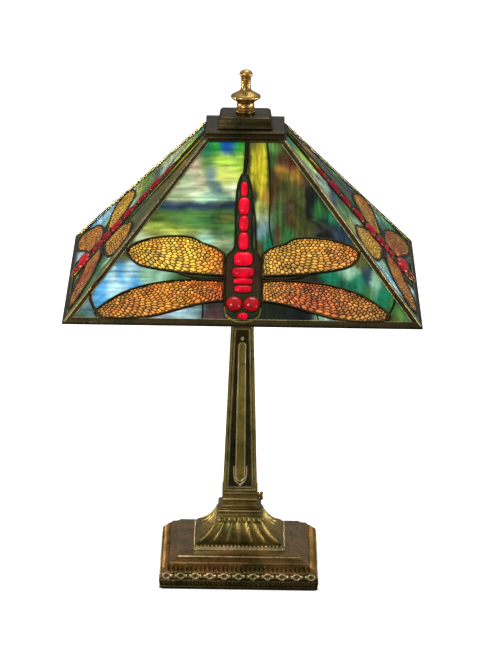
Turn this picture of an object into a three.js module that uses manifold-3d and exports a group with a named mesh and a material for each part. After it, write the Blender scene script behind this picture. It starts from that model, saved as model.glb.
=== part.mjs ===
// A table lamp with a four-sided art-glass shade on a square column.
// Millimetres, +Z up. The origin is the centre of the base's underside and the front faces -Y.
// Each glass side is laid out flat first: u runs across it and v up its slope from the bottom edge.
import * as THREE from "three";
import { mergeVertices } from "three/addons/utils/BufferGeometryUtils.js";
import Module from "manifold-3d";

const wasm = await Module();
wasm.setup();

// ---------- driving dimensions ----------
const GAP = 0.3; // air left between pieces that touch on the real lamp
const ROD_RADIUS = 4.8; // the threaded pipe that clamps the stand together
const ROD_HOLE = 5.4;

const FELT_TOP = 1.2;
const BASE_HALF = 92.75;
const BASE_TOP = 77.6;
const WALL = 3.4; // wall of the base casting
const COLLAR_TOP = 98.4;
const COLUMN_FOOT = COLLAR_TOP + GAP;
const COLUMN_FOOT_HALF = 20.2;
const COLUMN_TOP = 300;
const COLUMN_TOP_HALF = 13.2;

const SWITCH_HEIGHT = 87.8;
const CORD_HEIGHT = 8.8;
const CORD_BORE = 3.6;

const LIGHT_HEIGHT = 388; // the line that both bulbs lie on
const CLUSTER_BOTTOM = 372;
const CLUSTER_TOP = 404;
const SOCKET_START = 22;

const SHADE_BOTTOM = 348;
const SHADE_HALF = 203;
const SHADE_NECK = 528;
const SHADE_NECK_HALF = 45;
const GLASS = 3;
const LEAD_GAP = 0.8; // the width that the lead takes round each cut piece
const FRAME_STRIP = 6; // how far the brass strips lap over the glass
const FRAME_SHEET = 1.4;

const SEAT_HEIGHT = 519.4;
const STUD_RADIUS = 3.1;
const STUD_TOP = 560.5;
const CAP_BOTTOM = 529;
const CAP_STEP = 537.5;
const CAP_TOP = 551;
const CAP_HALF = 45.5;
const CROWN_HALF = 32;
const FINIAL_TOP = 601.5;

// ---------- materials ----------
const finish = (color, roughness, metalness, more = {}) =>
  new THREE.MeshStandardMaterial({ color, roughness, metalness, ...more });

const bronze = finish(0x6b5322, 0.42, 0.9);
const darkBronze = finish(0x3a2f20, 0.5, 0.85);
const brass = finish(0xc9963f, 0.25, 1);
const steel = finish(0x9a9a98, 0.45, 0.9);
const iron = finish(0x3b3a38, 0.8, 0.5);
const felt = finish(0x1d3324, 0.95, 0);
const blackPlastic = finish(0x141414, 0.5, 0);
const pearlGlass = finish(0xf4efe2, 0.35, 0);
const fieldGlass = finish(0x5d8a58, 0.2, 0, { transparent: true, opacity: 0.9 });
const amberGlass = finish(0xd98c1f, 0.25, 0, { transparent: true, opacity: 0.9 });
const rubyGlass = finish(0xc4101c, 0.15, 0, { transparent: true, opacity: 0.9 });

// ---------- shapes ----------
// A profile is a list of [radius, height]. It closes on itself or ends on the axis.
function ringArea(profile) {
  return profile.reduce((sum, [r, z], i) => {
    const [r2, z2] = profile[(i + 1) % profile.length];
    return sum + r * z2 - r2 * z;
  }, 0);
}

function lathe(profile, segments, scale, turn) {
  const facing = ringArea(profile) > 0 ? profile : [...profile].reverse();
  const points = facing.map(([r, z]) => new THREE.Vector2(r * scale, z));
  const onAxis = profile[0][0] === 0 && profile[profile.length - 1][0] === 0;
  if (!onAxis) points.push(points[0].clone());
  return new THREE.LatheGeometry(points, segments).rotateX(Math.PI / 2).rotateZ(turn);
}

const turned = (profile, segments = 16) => lathe(profile, segments, 1, 0);
const squared = (profile) => lathe(profile, 4, Math.SQRT2, Math.PI / 4);

// A turned piece whose axis is the lamp's X axis: side is 1 for +X and -1 for -X.
const turnedAlongX = (profile, side, segments = 16) =>
  turned(profile, segments).rotateY((side * Math.PI) / 2);

const tube = (inner, outer, low, high) => [
  [outer, low],
  [outer, high],
  [inner, high],
  [inner, low],
];

const disc = (radius, low, high) => [
  [0, low],
  [radius, low],
  [radius, high],
  [0, high],
];

function block(xs, ys, zs) {
  const size = [xs, ys, zs].map(([low, high]) => high - low);
  const centre = [xs, ys, zs].map(([low, high]) => (low + high) / 2);
  return new THREE.BoxGeometry(...size).translate(...centre);
}

function plate(outline, low, high) {
  const shape = new THREE.Shape(outline.map(([u, v]) => new THREE.Vector2(u, v)));
  const depth = high - low;
  return new THREE.ExtrudeGeometry(shape, { depth, bevelEnabled: false }).translate(0, 0, low);
}

// ---------- booleans ----------
function solid(geometry) {
  const bare = geometry.clone();
  bare.deleteAttribute("normal");
  bare.deleteAttribute("uv");
  const merged = mergeVertices(bare, 1e-3);
  const vertProperties = new Float32Array(merged.getAttribute("position").array);
  const triVerts = new Uint32Array(merged.index.array);
  return new wasm.Manifold(new wasm.Mesh({ numProp: 3, vertProperties, triVerts }));
}

function geometryOf(made) {
  const mesh = made.getMesh();
  const geometry = new THREE.BufferGeometry();
  geometry.setAttribute("position", new THREE.BufferAttribute(mesh.vertProperties, 3));
  geometry.setIndex(new THREE.BufferAttribute(mesh.triVerts, 1));
  geometry.computeVertexNormals();
  return geometry;
}

const cut = (body, tools) =>
  geometryOf(tools.reduce((left, tool) => left.subtract(solid(tool)), solid(body)));
const join = (body, more) => geometryOf(more.reduce((sum, m) => sum.add(solid(m)), solid(body)));

// ---------- the lamp ----------
const lamp = new THREE.Group();

function add(name, geometry, material, parent = lamp) {
  const mesh = new THREE.Mesh(geometry, material);
  mesh.name = name;
  parent.add(mesh);
  return mesh;
}

// Base: a square casting in steps, with a hollow flare that carries the column.
function baseCasting() {
  const outside = [
    [BASE_HALF, FELT_TOP + GAP],
    [BASE_HALF, 16],
    [93.4, 17],
    [93.4, 19.4],
    [91.5, 20.4],
    [80.5, 28.8],
    [80.5, 30.2],
    [75, 32.4],
    [71.8, 33.4],
    [71.8, 35.4],
    [53.4, 37.2],
    [53.4, 40.8],
    [51, 42.2],
    [49.6, 44.2],
    [44.5, 47],
    [39.2, 51],
    [34.6, 55.6],
    [30.8, 60.8],
    [27.6, 66.6],
    [25.6, 69.4],
    [24.4, 71],
    [24.4, 74.6],
    [25.4, 75.8],
    [25.4, BASE_TOP],
  ];
  const inside = [
    [ROD_HOLE, BASE_TOP],
    [ROD_HOLE, BASE_TOP - WALL],
    [20.8, BASE_TOP - WALL],
    [21.2, 70],
    [24.2, 64.4],
    [27.8, 58.4],
    [32, 53],
    [37, 48.2],
    [43, 43.8],
    [47.4, 41],
    [48, 34.4],
    [67.4, 32.4],
    [68, 30.4],
    [76.6, 27],
    [88.4, 18],
    [88.4, FELT_TOP + GAP],
  ];
  const cordHole = turned(disc(5.8, 80, 100), 12)
    .rotateX(-Math.PI / 2)
    .translate(0, 0, CORD_HEIGHT);
  return cut(squared([...outside, ...inside]), [cordHole]);
}

function cordBushing() {
  const flange = BASE_HALF + GAP;
  const profile = [
    [CORD_BORE, 86],
    [5.4, 86],
    [5.4, flange],
    [6.6, flange],
    [6.6, flange + 1.2],
    [5.6, flange + 2.6],
    [CORD_BORE, flange + 2.6],
  ];
  return turned(profile, 12)
    .rotateX(-Math.PI / 2)
    .translate(0, 0, CORD_HEIGHT);
}

add("felt_pad", squared(disc(90, 0, FELT_TOP)), felt);
add("bottom_cover", squared(disc(88, FELT_TOP + GAP, 3)), steel);
add("base_casting", baseCasting(), bronze);
add("cord_bushing", cordBushing(), blackPlastic);

const BALLAST_BOTTOM = 13;
const ballast = [
  [66, BALLAST_BOTTOM],
  [66, 26.6],
  [60, 30],
  [44, 31.6],
  [ROD_HOLE, 31.6],
  [ROD_HOLE, BALLAST_BOTTOM],
];
add("ballast_weight", squared(ballast), iron);

const nutFlange = BALLAST_BOTTOM - GAP;
const NUT_BORE = 5.9;
const nutProfile = [
  [NUT_BORE, 6],
  [9.4, 6],
  [9.4, nutFlange - 1.6],
  [13, nutFlange - 1.6],
  [13, nutFlange],
  [NUT_BORE, nutFlange],
];
add("clamp_nut", turned(nutProfile, 6), steel);
add("threaded_rod", turned(tube(3, ROD_RADIUS, 5, CLUSTER_BOTTOM + 5.6), 12), steel);

// Switch collar: the square neck between base and column, with the rotary switch in its right side.
const COLLAR_WALL = 2.6;
const NECK_HALF = 19.6;
const COLLAR_HALF = 20.9;

function switchCollar() {
  const outside = [
    [23.4, BASE_TOP + GAP],
    [23.4, 79],
    [NECK_HALF, 80.4],
    [NECK_HALF, 88],
    [COLLAR_HALF, 88.6],
    [COLLAR_HALF, COLLAR_TOP - 0.6],
    [COLLAR_HALF - 0.6, COLLAR_TOP],
  ];
  const inner = NECK_HALF - COLLAR_WALL;
  const inside = [
    [inner - 1, COLLAR_TOP],
    [inner, COLLAR_TOP - 1],
    [inner, BASE_TOP + GAP],
  ];
  const switchHole = turnedAlongX(disc(3.7, 10, 30), 1, 12).translate(0, 0, SWITCH_HEIGHT);
  return cut(squared([...outside, ...inside]), [switchHole]);
}

function switchBody() {
  const box = block([6.2, 15.6], [-7, 7], [SWITCH_HEIGHT - 9, SWITCH_HEIGHT + 4.6]);
  const nose = turnedAlongX(disc(3.3, 14, 23.2), 1, 12).translate(0, 0, SWITCH_HEIGHT);
  const shaftHole = turnedAlongX(disc(2.2, 15.4, 30), 1, 12).translate(0, 0, SWITCH_HEIGHT);
  return cut(join(box, [nose]), [shaftHole]);
}

const knobProfile = [
  [0, 16],
  [1.7, 16],
  [1.7, 23.6],
  [4.5, 23.6],
  [5.2, 24.4],
  [5.2, 26.4],
  [4.4, 27.4],
  [3, 27.8],
  [0, 27.8],
];
add("switch_collar", switchCollar(), bronze);
add("switch_body", switchBody(), blackPlastic);
const nutNeck = tube(3.7, 4.9, COLLAR_HALF + GAP, 23);
add("switch_nut", turnedAlongX(nutNeck, 1, 12).translate(0, 0, SWITCH_HEIGHT), brass);
add("switch_knob", turnedAlongX(knobProfile, 1, 14).translate(0, 0, SWITCH_HEIGHT), brass);

// Column: a tapered square tube. Each face has a sunk panel with a raised reed in it.
const COLUMN_TAPER = Math.atan2(COLUMN_FOOT_HALF - COLUMN_TOP_HALF, COLUMN_TOP - COLUMN_FOOT);
const COLUMN_WALL = 3.4;
const PANEL_SINK = 1.6;

// Each column face is laid out flat: v runs up it from the foot.
function onColumnFace(geometry, side) {
  return geometry
    .rotateX(Math.PI / 2 - COLUMN_TAPER)
    .translate(0, -COLUMN_FOOT_HALF, COLUMN_FOOT)
    .rotateZ((side * Math.PI) / 2);
}

const columnHalfAt = (v) => COLUMN_FOOT_HALF - v * Math.sin(COLUMN_TAPER);

function columnPanel(border, bottom, top) {
  const low = columnHalfAt(bottom) - border;
  const high = columnHalfAt(top) - border;
  return [
    [-low, bottom],
    [low, bottom],
    [high, top],
    [-high, top],
  ];
}

function reedOutline(lowV, highV, lowHalf, highHalf, steps) {
  const arc = (centre, half, from) =>
    Array.from({ length: steps + 1 }, (_, i) => {
      const a = from + (Math.PI * i) / steps;
      return [half * Math.cos(a), centre + half * Math.sin(a)];
    });
  return [...arc(lowV, lowHalf, Math.PI), ...arc(highV, highHalf, 0)];
}

function columnShell() {
  const tall = [
    [COLUMN_FOOT_HALF, COLUMN_FOOT],
    [COLUMN_TOP_HALF, COLUMN_TOP],
    [COLUMN_TOP_HALF - COLUMN_WALL, COLUMN_TOP],
    [COLUMN_FOOT_HALF - COLUMN_WALL, COLUMN_FOOT],
  ];
  let made = solid(squared(tall));
  for (let side = 0; side < 4; side++) {
    const sunk = plate(columnPanel(5.2, 5.5, 193), -PANEL_SINK, 2);
    made = made.subtract(solid(onColumnFace(sunk, side)));
    const reed = plate(reedOutline(16, 175, 5.2, 3.8, 6), -PANEL_SINK - 0.4, -0.2);
    made = made.add(solid(onColumnFace(reed, side)));
  }
  return geometryOf(made);
}

const capital = [
  [14.6, COLUMN_TOP + GAP],
  [16.4, 302.4],
  [16.4, 304],
  [13, 306.4],
  [ROD_HOLE, 306.4],
  [ROD_HOLE, COLUMN_TOP + GAP],
];
add("column_shell", columnShell(), bronze);
add("column_capital", squared(capital), bronze);
add("pipe_cover", turned(tube(6, 7.8, 306.4 + GAP, CLUSTER_BOTTOM - GAP), 16), brass);

// Light cluster: a turned hub with one socket to each side.
function clusterBody() {
  const hub = [
    [0, 378],
    [ROD_HOLE - 0.2, 378],
    [ROD_HOLE - 0.2, CLUSTER_BOTTOM],
    [9, CLUSTER_BOTTOM],
    [10, 374],
    [15.5, 378],
    [15.5, 398],
    [10, 402],
    [9, CLUSTER_TOP],
    [5.9, CLUSTER_TOP],
    [5.9, 398],
    [0, 398],
  ];
  const arms = [1, -1].map((side) =>
    turnedAlongX(disc(5, 10, SOCKET_START + 5), side, 12).translate(0, 0, LIGHT_HEIGHT),
  );
  return join(turned(hub, 20), arms);
}

const socketCap = [
  [5.4, SOCKET_START],
  [8, SOCKET_START],
  [8.4, 24],
  [13.6, 28],
  [17.2, 34],
  [17.2, 38],
  [15.8, 38],
  [15.8, 34.6],
  [12.6, 29.4],
  [7, 28],
  [5.4, 28],
];
const socketShell = [
  [0, 38.3],
  [16.4, 38.3],
  [16.4, 65.8],
  [17.4, 67],
  [17.4, 70],
  [14.6, 70],
  [14.6, 41.4],
  [0, 41.4],
];
const bulbInsulator = [
  [0, 42],
  [3.4, 42],
  [4.2, 43],
  [9, 45.4],
  [9, 46.4],
  [0, 46.4],
];
const bulbScrew = [
  [0, 46.7],
  [11, 46.7],
  [13, 48.4],
  [13, 67],
  [12.2, 69.4],
  [11.4, 69.4],
  [12.2, 66.6],
  [12.2, 48.8],
  [10.7, 47.5],
  [0, 47.5],
];

// Bulb glass: a short pear, open at its neck, as thick as its wall.
function bulbGlass(side) {
  const neck = 69.7;
  const belly = 107.5;
  const radius = 24;
  const skin = (wall) => {
    const r = radius - wall;
    const crown = Array.from({ length: 5 }, (_, i) => {
      const a = (Math.PI / 2) * (1 - i / 4);
      return [r * Math.cos(a), belly + r * Math.sin(a)];
    });
    crown[0][0] = 0;
    return [...crown, [r - 2.4, 96.5], [r - 7.6, 85], [12.6 - wall, 76], [12.2 - wall, neck]];
  };
  return turnedAlongX([...skin(0), ...skin(1.2).reverse()], side, 16);
}

add("cluster_body", clusterBody(), brass);
for (const [hand, side] of [
  ["left", -1],
  ["right", 1],
]) {
  const place = (name, geometry, material) =>
    add(name + hand, geometry.translate(0, 0, LIGHT_HEIGHT), material);
  place("socket_cap_", turnedAlongX(socketCap, side, 16), brass);
  place("socket_shell_", turnedAlongX(socketShell, side, 16), brass);
  place("bulb_insulator_", turnedAlongX(bulbInsulator, side, 12), blackPlastic);
  place("bulb_screw_", turnedAlongX(bulbScrew, side, 16), steel);
  place("bulb_glass_", bulbGlass(side), pearlGlass);
}

// Riser: carries the shade's weight from the cluster up to the seat washer.
const riser = [
  [3.6, CLUSTER_TOP - 5.6],
  [5.5, CLUSTER_TOP - 5.6],
  [5.5, SEAT_HEIGHT - 5],
  [13, SEAT_HEIGHT - 1.6],
  [13, SEAT_HEIGHT],
  [3.6, SEAT_HEIGHT],
];
add("riser_tube", turned(riser, 16), brass);
add("top_stud", turned(disc(STUD_RADIUS, 496, STUD_TOP), 12), steel);
add("seat_washer", turned(tube(3.6, 11, SEAT_HEIGHT + GAP, SEAT_HEIGHT + 1.3), 16), brass);

// ---------- the shade ----------
const SHADE_RUN = SHADE_HALF - SHADE_NECK_HALF;
const SHADE_RISE = SHADE_NECK - SHADE_BOTTOM;
const SLOPE = Math.atan2(SHADE_RISE, SHADE_RUN);
const SLANT = Math.hypot(SHADE_RUN, SHADE_RISE);
const GLASS_START = 5;
const GLASS_END = SLANT - 0.6;
const SIDES = ["front", "right", "back", "left"];

const sideHalfAt = (v) => SHADE_HALF - (v * SHADE_RUN) / SLANT;

function sideOutline(low, high, inset) {
  return [
    [-sideHalfAt(low) + inset, low],
    [sideHalfAt(low) - inset, low],
    [sideHalfAt(high) - inset, high],
    [-sideHalfAt(high) + inset, high],
  ];
}

// Half of a dragonfly, drawn on the right of the centre line.
const UPPER_WING = [
  [21.8, 92],
  [32, 100],
  [46, 105],
  [60, 112.5],
  [82, 113.5],
  [104, 110.5],
  [119, 105.5],
  [128, 99.5],
  [131, 92],
  [126, 83],
  [116, 76],
  [94, 71],
  [60, 66.5],
  [21.8, 64.5],
];
const LOWER_WING = [
  [21.8, 57.5],
  [45, 58.8],
  [72, 57.5],
  [98, 53.5],
  [124, 46],
  [144, 35.5],
  [159, 24],
  [166, 15.5],
  [162, 10],
  [148, 8.6],
  [124, 8.8],
  [102, 12],
  [80, 18.5],
  [60, 25],
  [40, 30],
  [21.8, 32.5],
];
const BODY_SIDE = [
  [0, 8.6],
  [10, 10],
  [18, 16],
  [20.4, 27],
  [20.4, 56],
  [20.4, 80],
  [17.5, 91],
  [11.5, 98],
  [9.6, 108],
  [9.4, 150],
  [8, 176],
  [4, 192],
  [0, 197],
];

function smooth(points, samples) {
  const curve = new THREE.SplineCurve(points.map(([u, v]) => new THREE.Vector2(u, v)));
  return curve.getPoints(samples).map((p) => [p.x, p.y]);
}

const mirrored = (outline) => outline.map(([u, v]) => [-u, v]).reverse();

// Grows an outline by a distance, along the mean normal of its two edges at each corner.
function grown(outline, by) {
  const n = outline.length;
  const area = ringArea(outline);
  const out = area > 0 ? 1 : -1;
  return outline.map(([u, v], i) => {
    const before = outline[(i + n - 1) % n];
    const after = outline[(i + 1) % n];
    const along = new THREE.Vector2(after[0] - before[0], after[1] - before[1]).normalize();
    return [u + along.y * by * out, v - along.x * by * out];
  });
}

const upperWing = smooth(UPPER_WING, 26);
const lowerWing = smooth(LOWER_WING, 28);
const bodyRight = smooth(BODY_SIDE, 22);
const body = [...bodyRight, ...mirrored(bodyRight).slice(1, -1)];

const DRAGONFLY = {
  wing_upper_right: [upperWing, amberGlass],
  wing_upper_left: [mirrored(upperWing), amberGlass],
  wing_lower_right: [lowerWing, amberGlass],
  wing_lower_left: [mirrored(lowerWing), amberGlass],
  dragonfly_body: [body, rubyGlass],
};

function fieldPlate() {
  const whole = plate(sideOutline(GLASS_START, GLASS_END, 2.8), -GLASS, 0);
  const holes = Object.values(DRAGONFLY).map(([outline]) =>
    plate(grown(outline, LEAD_GAP), -GLASS - 1, 1),
  );
  return cut(whole, holes);
}

const field = fieldPlate();
SIDES.forEach((sideName, i) => {
  const turnedSide = new THREE.Group();
  turnedSide.rotation.z = (i * Math.PI) / 2;
  const slope = new THREE.Group();
  slope.rotation.x = SLOPE;
  slope.position.set(0, -SHADE_HALF, SHADE_BOTTOM);
  turnedSide.add(slope);
  lamp.add(turnedSide);
  add(`glass_field_${sideName}`, field, fieldGlass, slope);
  for (const [piece, [outline, glass]] of Object.entries(DRAGONFLY)) {
    add(`${piece}_${sideName}`, plate(outline, -GLASS, 0), glass, slope);
  }
});

// Brass strips over the four hips, with a band round the bottom and the top of the glass.
function shadeFrame() {
  const across = 1 / Math.sin(SLOPE);
  const low = SHADE_BOTTOM + 2;
  const high = SHADE_NECK - GAP;
  const halfAt = (z, off) =>
    SHADE_HALF - ((z - SHADE_BOTTOM) * SHADE_RUN) / SHADE_RISE + off * across;
  const shell = [
    [halfAt(low, GAP + FRAME_SHEET), low],
    [halfAt(high, GAP + FRAME_SHEET), high],
    [halfAt(high, GAP), high],
    [halfAt(low, GAP), low],
  ];
  const windows = SIDES.map((_, i) =>
    plate(sideOutline(GLASS_START + 3, SLANT - 4, FRAME_STRIP), -6, 8)
      .rotateX(SLOPE)
      .translate(0, -SHADE_HALF, SHADE_BOTTOM)
      .rotateZ((i * Math.PI) / 2),
  );
  return cut(squared(shell), windows);
}

const RIM_TOP = SHADE_BOTTOM + 1.5;
const rim = tube(196.5, SHADE_HALF, SHADE_BOTTOM, RIM_TOP);
const topRing = [
  [41, 519],
  [41, 528.4],
  [43.4, 528.4],
  [43.4, 535.6],
  [38, 535.6],
  [38, 519],
];

// Spider: a cross of flat brass whose hub rests on the seat washer.
function spider() {
  const reach = 37.6;
  const arm = 5;
  const quarter = [
    [arm, arm],
    [arm, reach],
    [-arm, reach],
  ];
  const cross = new THREE.Shape();
  for (let i = 0; i < 4; i++) {
    for (const [x, y] of quarter) {
      const p = new THREE.Vector2(x, y).rotateAround(new THREE.Vector2(), (i * Math.PI) / 2);
      if (cross.curves.length || cross.currentPoint.length()) cross.lineTo(p.x, p.y);
      else cross.moveTo(p.x, p.y);
    }
  }
  cross.holes.push(new THREE.Path().absarc(0, 0, 3.8, 0, 2 * Math.PI, true));
  const made = new THREE.ExtrudeGeometry(cross, { depth: 2, bevelEnabled: false, curveSegments: 12 });
  return made.translate(0, 0, SEAT_HEIGHT + 1.6);
}

add("shade_frame", shadeFrame(), darkBronze);
add("shade_rim", squared(rim), darkBronze);
add("shade_top_ring", squared(topRing), darkBronze);
add("shade_spider", spider(), brass);

// ---------- cap and finial ----------
const SHEET = 1.5;
const STUD_HOLE = 3.8;
const capSkirt = [
  [CAP_HALF, CAP_BOTTOM],
  [CAP_HALF, CAP_STEP - 0.8],
  [CAP_HALF - 0.8, CAP_STEP],
  [STUD_HOLE, CAP_STEP],
  [STUD_HOLE, CAP_STEP - SHEET],
  [CAP_HALF - SHEET, CAP_STEP - SHEET],
  [CAP_HALF - SHEET, CAP_BOTTOM],
];
const crownLow = CAP_STEP + GAP;
const capCrown = [
  [CROWN_HALF, crownLow],
  [CROWN_HALF, crownLow + 1.4],
  [30.4, crownLow + 2.4],
  [29.6, 545],
  [29.2, 548],
  [27.6, 550.4],
  [25.6, CAP_TOP],
  [STUD_HOLE, CAP_TOP],
  [STUD_HOLE, CAP_TOP - SHEET],
  [26, CAP_TOP - SHEET],
  [27.7, 547.6],
  [28.1, 544.6],
  [29, crownLow],
];
add("cap_skirt", squared(capSkirt), darkBronze);
add("cap_crown", squared(capCrown), darkBronze);

const FINIAL_BOTTOM = CAP_TOP + GAP;
const INSERT_TOP = 561;
const insertProfile = tube(3.5, 5.4, FINIAL_BOTTOM + 0.5, INSERT_TOP);
const finialProfile = [
  [0, INSERT_TOP + GAP],
  [5.8, INSERT_TOP + GAP],
  [5.8, FINIAL_BOTTOM],
  [10.8, FINIAL_BOTTOM],
  [11.2, 552.4],
  [10.4, 553.8],
  [9.6, 554.4],
  [10.4, 555.6],
  [10.2, 557.4],
  [8.4, 558.6],
  [8.2, 562],
  [9.6, 565.4],
  [15, 567.6],
  [17.1, 569.6],
  [16.9, 571.4],
  [12, 574.6],
  [7, 577.4],
  [5.2, 580],
  [4.7, 586],
  [5.6, 589.6],
  [5.4, 590.8],
  [4.6, 592],
  [6.4, 594],
  [7.1, 596.8],
  [6, 599.6],
  [3.4, 601.1],
  [0, FINIAL_TOP],
];
add("finial_insert", turned(insertProfile, 12), steel);
add("finial", turned(finialProfile, 20), brass);

export default lamp;
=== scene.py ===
# %% [markdown]
# # A stained glass table lamp
#
# This file adds what the eye sees: streaky glass, lead lines, wing nets, glass jewels, bronze
# ornament and polished brass. Every length is in metres, +Z is up and the front looks along
# -Y.

import math
import random

import bmesh
import bpy
from mathutils import Matrix, Vector, geometry, noise


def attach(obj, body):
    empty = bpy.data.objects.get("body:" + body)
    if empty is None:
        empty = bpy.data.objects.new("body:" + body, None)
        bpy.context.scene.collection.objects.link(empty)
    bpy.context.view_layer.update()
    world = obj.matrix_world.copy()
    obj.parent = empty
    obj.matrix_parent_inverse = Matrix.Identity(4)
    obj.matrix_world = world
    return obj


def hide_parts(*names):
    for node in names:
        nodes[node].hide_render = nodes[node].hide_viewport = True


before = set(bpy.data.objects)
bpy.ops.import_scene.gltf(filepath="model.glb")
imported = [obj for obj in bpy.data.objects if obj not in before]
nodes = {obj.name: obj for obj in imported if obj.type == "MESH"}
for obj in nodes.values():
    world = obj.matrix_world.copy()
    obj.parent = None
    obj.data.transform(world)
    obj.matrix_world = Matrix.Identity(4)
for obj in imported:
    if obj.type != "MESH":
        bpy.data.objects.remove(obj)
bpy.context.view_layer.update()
MM = 0.001
print("nodes loaded:", len(nodes))

# %% [markdown]
# ## The room
#
# A small lamp is shown on a pale floor, in soft light from a big lamp on each side and one above.
# Two weak lights with narrow beams graze its left and right edges. The camera stands far off with
# a long lens, a little above the shade, and tips by one degree.

# %% Camera
CAMERA_DISTANCE = 5.5
CAMERA_HEIGHT_ANGLE = math.radians(15.07)
AIM = Vector((0, 0, 0.283))
camera = bpy.data.objects.new("camera", bpy.data.cameras.new("camera"))
bpy.context.scene.collection.objects.link(camera)
camera.data.lens = 251.5
camera.data.sensor_width = 36
camera.data.shift_x = -0.0033
back = Vector((0, -math.cos(CAMERA_HEIGHT_ANGLE), math.sin(CAMERA_HEIGHT_ANGLE)))
camera.location = AIM + back * CAMERA_DISTANCE
look = back.to_track_quat("Z", "Y").to_matrix().to_4x4()
camera.matrix_world = (
    Matrix.Translation(camera.location) @ look @ Matrix.Rotation(math.radians(0.85), 4, "Z")
)
camera.data.clip_end = 50
bpy.context.scene.camera = camera
print("camera at", tuple(round(x, 2) for x in camera.location))


# %% Lights
def soft_light(name, place, size, watts, tint=(1, 1, 1), cone=180):
    light = bpy.data.lights.new(name, "AREA")
    light.spread = math.radians(cone)
    light.shape, light.size, light.energy, light.color = "DISK", size, watts, tint
    lamp = bpy.data.objects.new(name, light)
    bpy.context.scene.collection.objects.link(lamp)
    aim = (Vector(place) - AIM).to_track_quat("Z", "Y").to_matrix().to_4x4()
    lamp.matrix_world = Matrix.Translation(place) @ aim


soft_light("key_light", (-1.3, -1.8, 1.5), 0.7, 26, (1, 0.97, 0.92))
soft_light("fill_light", (1.7, -1.2, 0.7), 0.5, 9, (1, 0.97, 0.92))
soft_light("top_light", (0.2, 0.8, 2.2), 1.2, 14)
soft_light("left_edge_light", (-1.7, 0.05, 0.26), 0.4, 1.8, (1, 0.96, 0.86), 50)
soft_light("right_edge_light", (1.7, 0.05, 0.24), 0.4, 1.6, (0.98, 1, 0.86), 50)

bpy.context.scene.view_settings.view_transform = "Standard"
print("lights:", len(bpy.data.lights))


# %% [markdown]
# ## Shader groups
#
# Three effects come back on many pieces, so each is a node group: the streaks of hand-rolled
# glass, the patina of old bronze, and fine grain. A group only puts out colours and numbers; the
# shader that uses them stays in each material.


# %% Node helpers
def new_group(name, inputs, outputs):
    tree = bpy.data.node_groups.new(name, "ShaderNodeTree")
    kinds = {"color": "NodeSocketColor", "value": "NodeSocketFloat", "vector": "NodeSocketVector"}
    for socket, kind in inputs.items():
        tree.interface.new_socket(socket, in_out="INPUT", socket_type=kinds[kind])
    for socket, kind in outputs.items():
        tree.interface.new_socket(socket, in_out="OUTPUT", socket_type=kinds[kind])
    return tree, tree.nodes.new("NodeGroupInput"), tree.nodes.new("NodeGroupOutput")


def node(tree, kind, links=(), **values):
    made = tree.nodes.new("ShaderNode" + kind)
    for name, value in values.items():
        if hasattr(made, name):
            setattr(made, name, value)
        else:
            made.inputs[name.replace("_", " ")].default_value = value
    for socket, source in dict(links).items():
        tree.links.new(source, made.inputs[socket])
    return made


def blend_colors(tree, factor, a, b, mode="MIX"):
    made = tree.nodes.new("ShaderNodeMix")
    made.data_type, made.blend_type = "RGBA", mode
    for index, source in ((0, factor), (6, a), (7, b)):
        if isinstance(source, (int, float)):
            made.inputs[index].default_value = source
        elif isinstance(source, tuple):
            made.inputs[index].default_value = (*source[:3], 1)
        else:
            tree.links.new(source, made.inputs[index])
    return made.outputs[2]


def spread(tree, source, low, high, to_low=0.0, to_high=1.0):
    ends = {"From_Min": low, "From_Max": high, "To_Min": to_low, "To_Max": to_high}
    return node(tree, "MapRange", {"Value": source}, **ends).outputs["Result"]


def combined(tree, operation, a, b, kind="Math"):
    return node(tree, kind, {0: a, 1: b}, operation=operation).outputs[0]


def linear(hex_text):
    """A colour as a glazier's chip would be written down, turned into light values."""
    parts = [int(hex_text[i : i + 2], 16) / 255 for i in (0, 2, 4)]
    return tuple(x / 12.92 if x <= 0.04045 else ((x + 0.055) / 1.055) ** 2.4 for x in parts)


print("helpers ready")


# %% [markdown]
# Streaky glass is rolled while the colours are still stirring, so its veins run in long soft
# bands with a few white wisps. A stretched noise moves a second noise, which gives that marbling.


# %% Streaks
def streak_group():
    inputs = {"Tint": "color", "Place": "vector", "Scale": "value", "Wisps": "value"}
    tree, given, out = new_group(
        "glass_streaks", inputs, {"Color": "color", "Roughness": "value", "Height": "value"}
    )
    place, scale = given.outputs["Place"], given.outputs["Scale"]
    place = combined(tree, "MULTIPLY", place, scale, "VectorMath")
    bend = node(tree, "TexNoise", {"Vector": place}, Scale=14.0, Detail=2.0)
    drift = node(tree, "VectorMath", {0: bend.outputs["Color"]}, operation="SCALE")
    drift.inputs["Scale"].default_value = 0.09
    moved = combined(tree, "ADD", place, drift.outputs[0], "VectorMath")
    veins = node(tree, "TexNoise", {"Vector": moved}, Scale=38.0, Detail=4.0, Roughness=0.55)
    wisps = node(tree, "TexNoise", {"Vector": moved}, Scale=22.0, Detail=3.0, Distortion=1.4)
    tint = given.outputs["Tint"]
    dark = blend_colors(tree, 1.0, tint, (0.5, 0.56, 0.52), "MULTIPLY")
    body = blend_colors(tree, spread(tree, veins.outputs["Fac"], 0.36, 0.58), dark, tint)
    milky = spread(tree, wisps.outputs["Fac"], 0.56, 0.72)
    white = combined(tree, "MULTIPLY", milky, given.outputs["Wisps"])
    color = blend_colors(tree, white, body, (0.86, 0.9, 0.84))
    tree.links.new(color, out.inputs["Color"])
    rough = spread(tree, wisps.outputs["Fac"], 0.3, 0.7, 0.16, 0.34)
    tree.links.new(rough, out.inputs["Roughness"])
    tree.links.new(veins.outputs["Fac"], out.inputs["Height"])
    return tree


STREAKS = streak_group()
print("group:", STREAKS.name)


# %% [markdown]
# Old bronze is never one colour. The bare metal is warm, a green crust gathers in patches, and
# dark wax stays in the hollows. Two sizes of noise decide which one shows.


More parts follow.
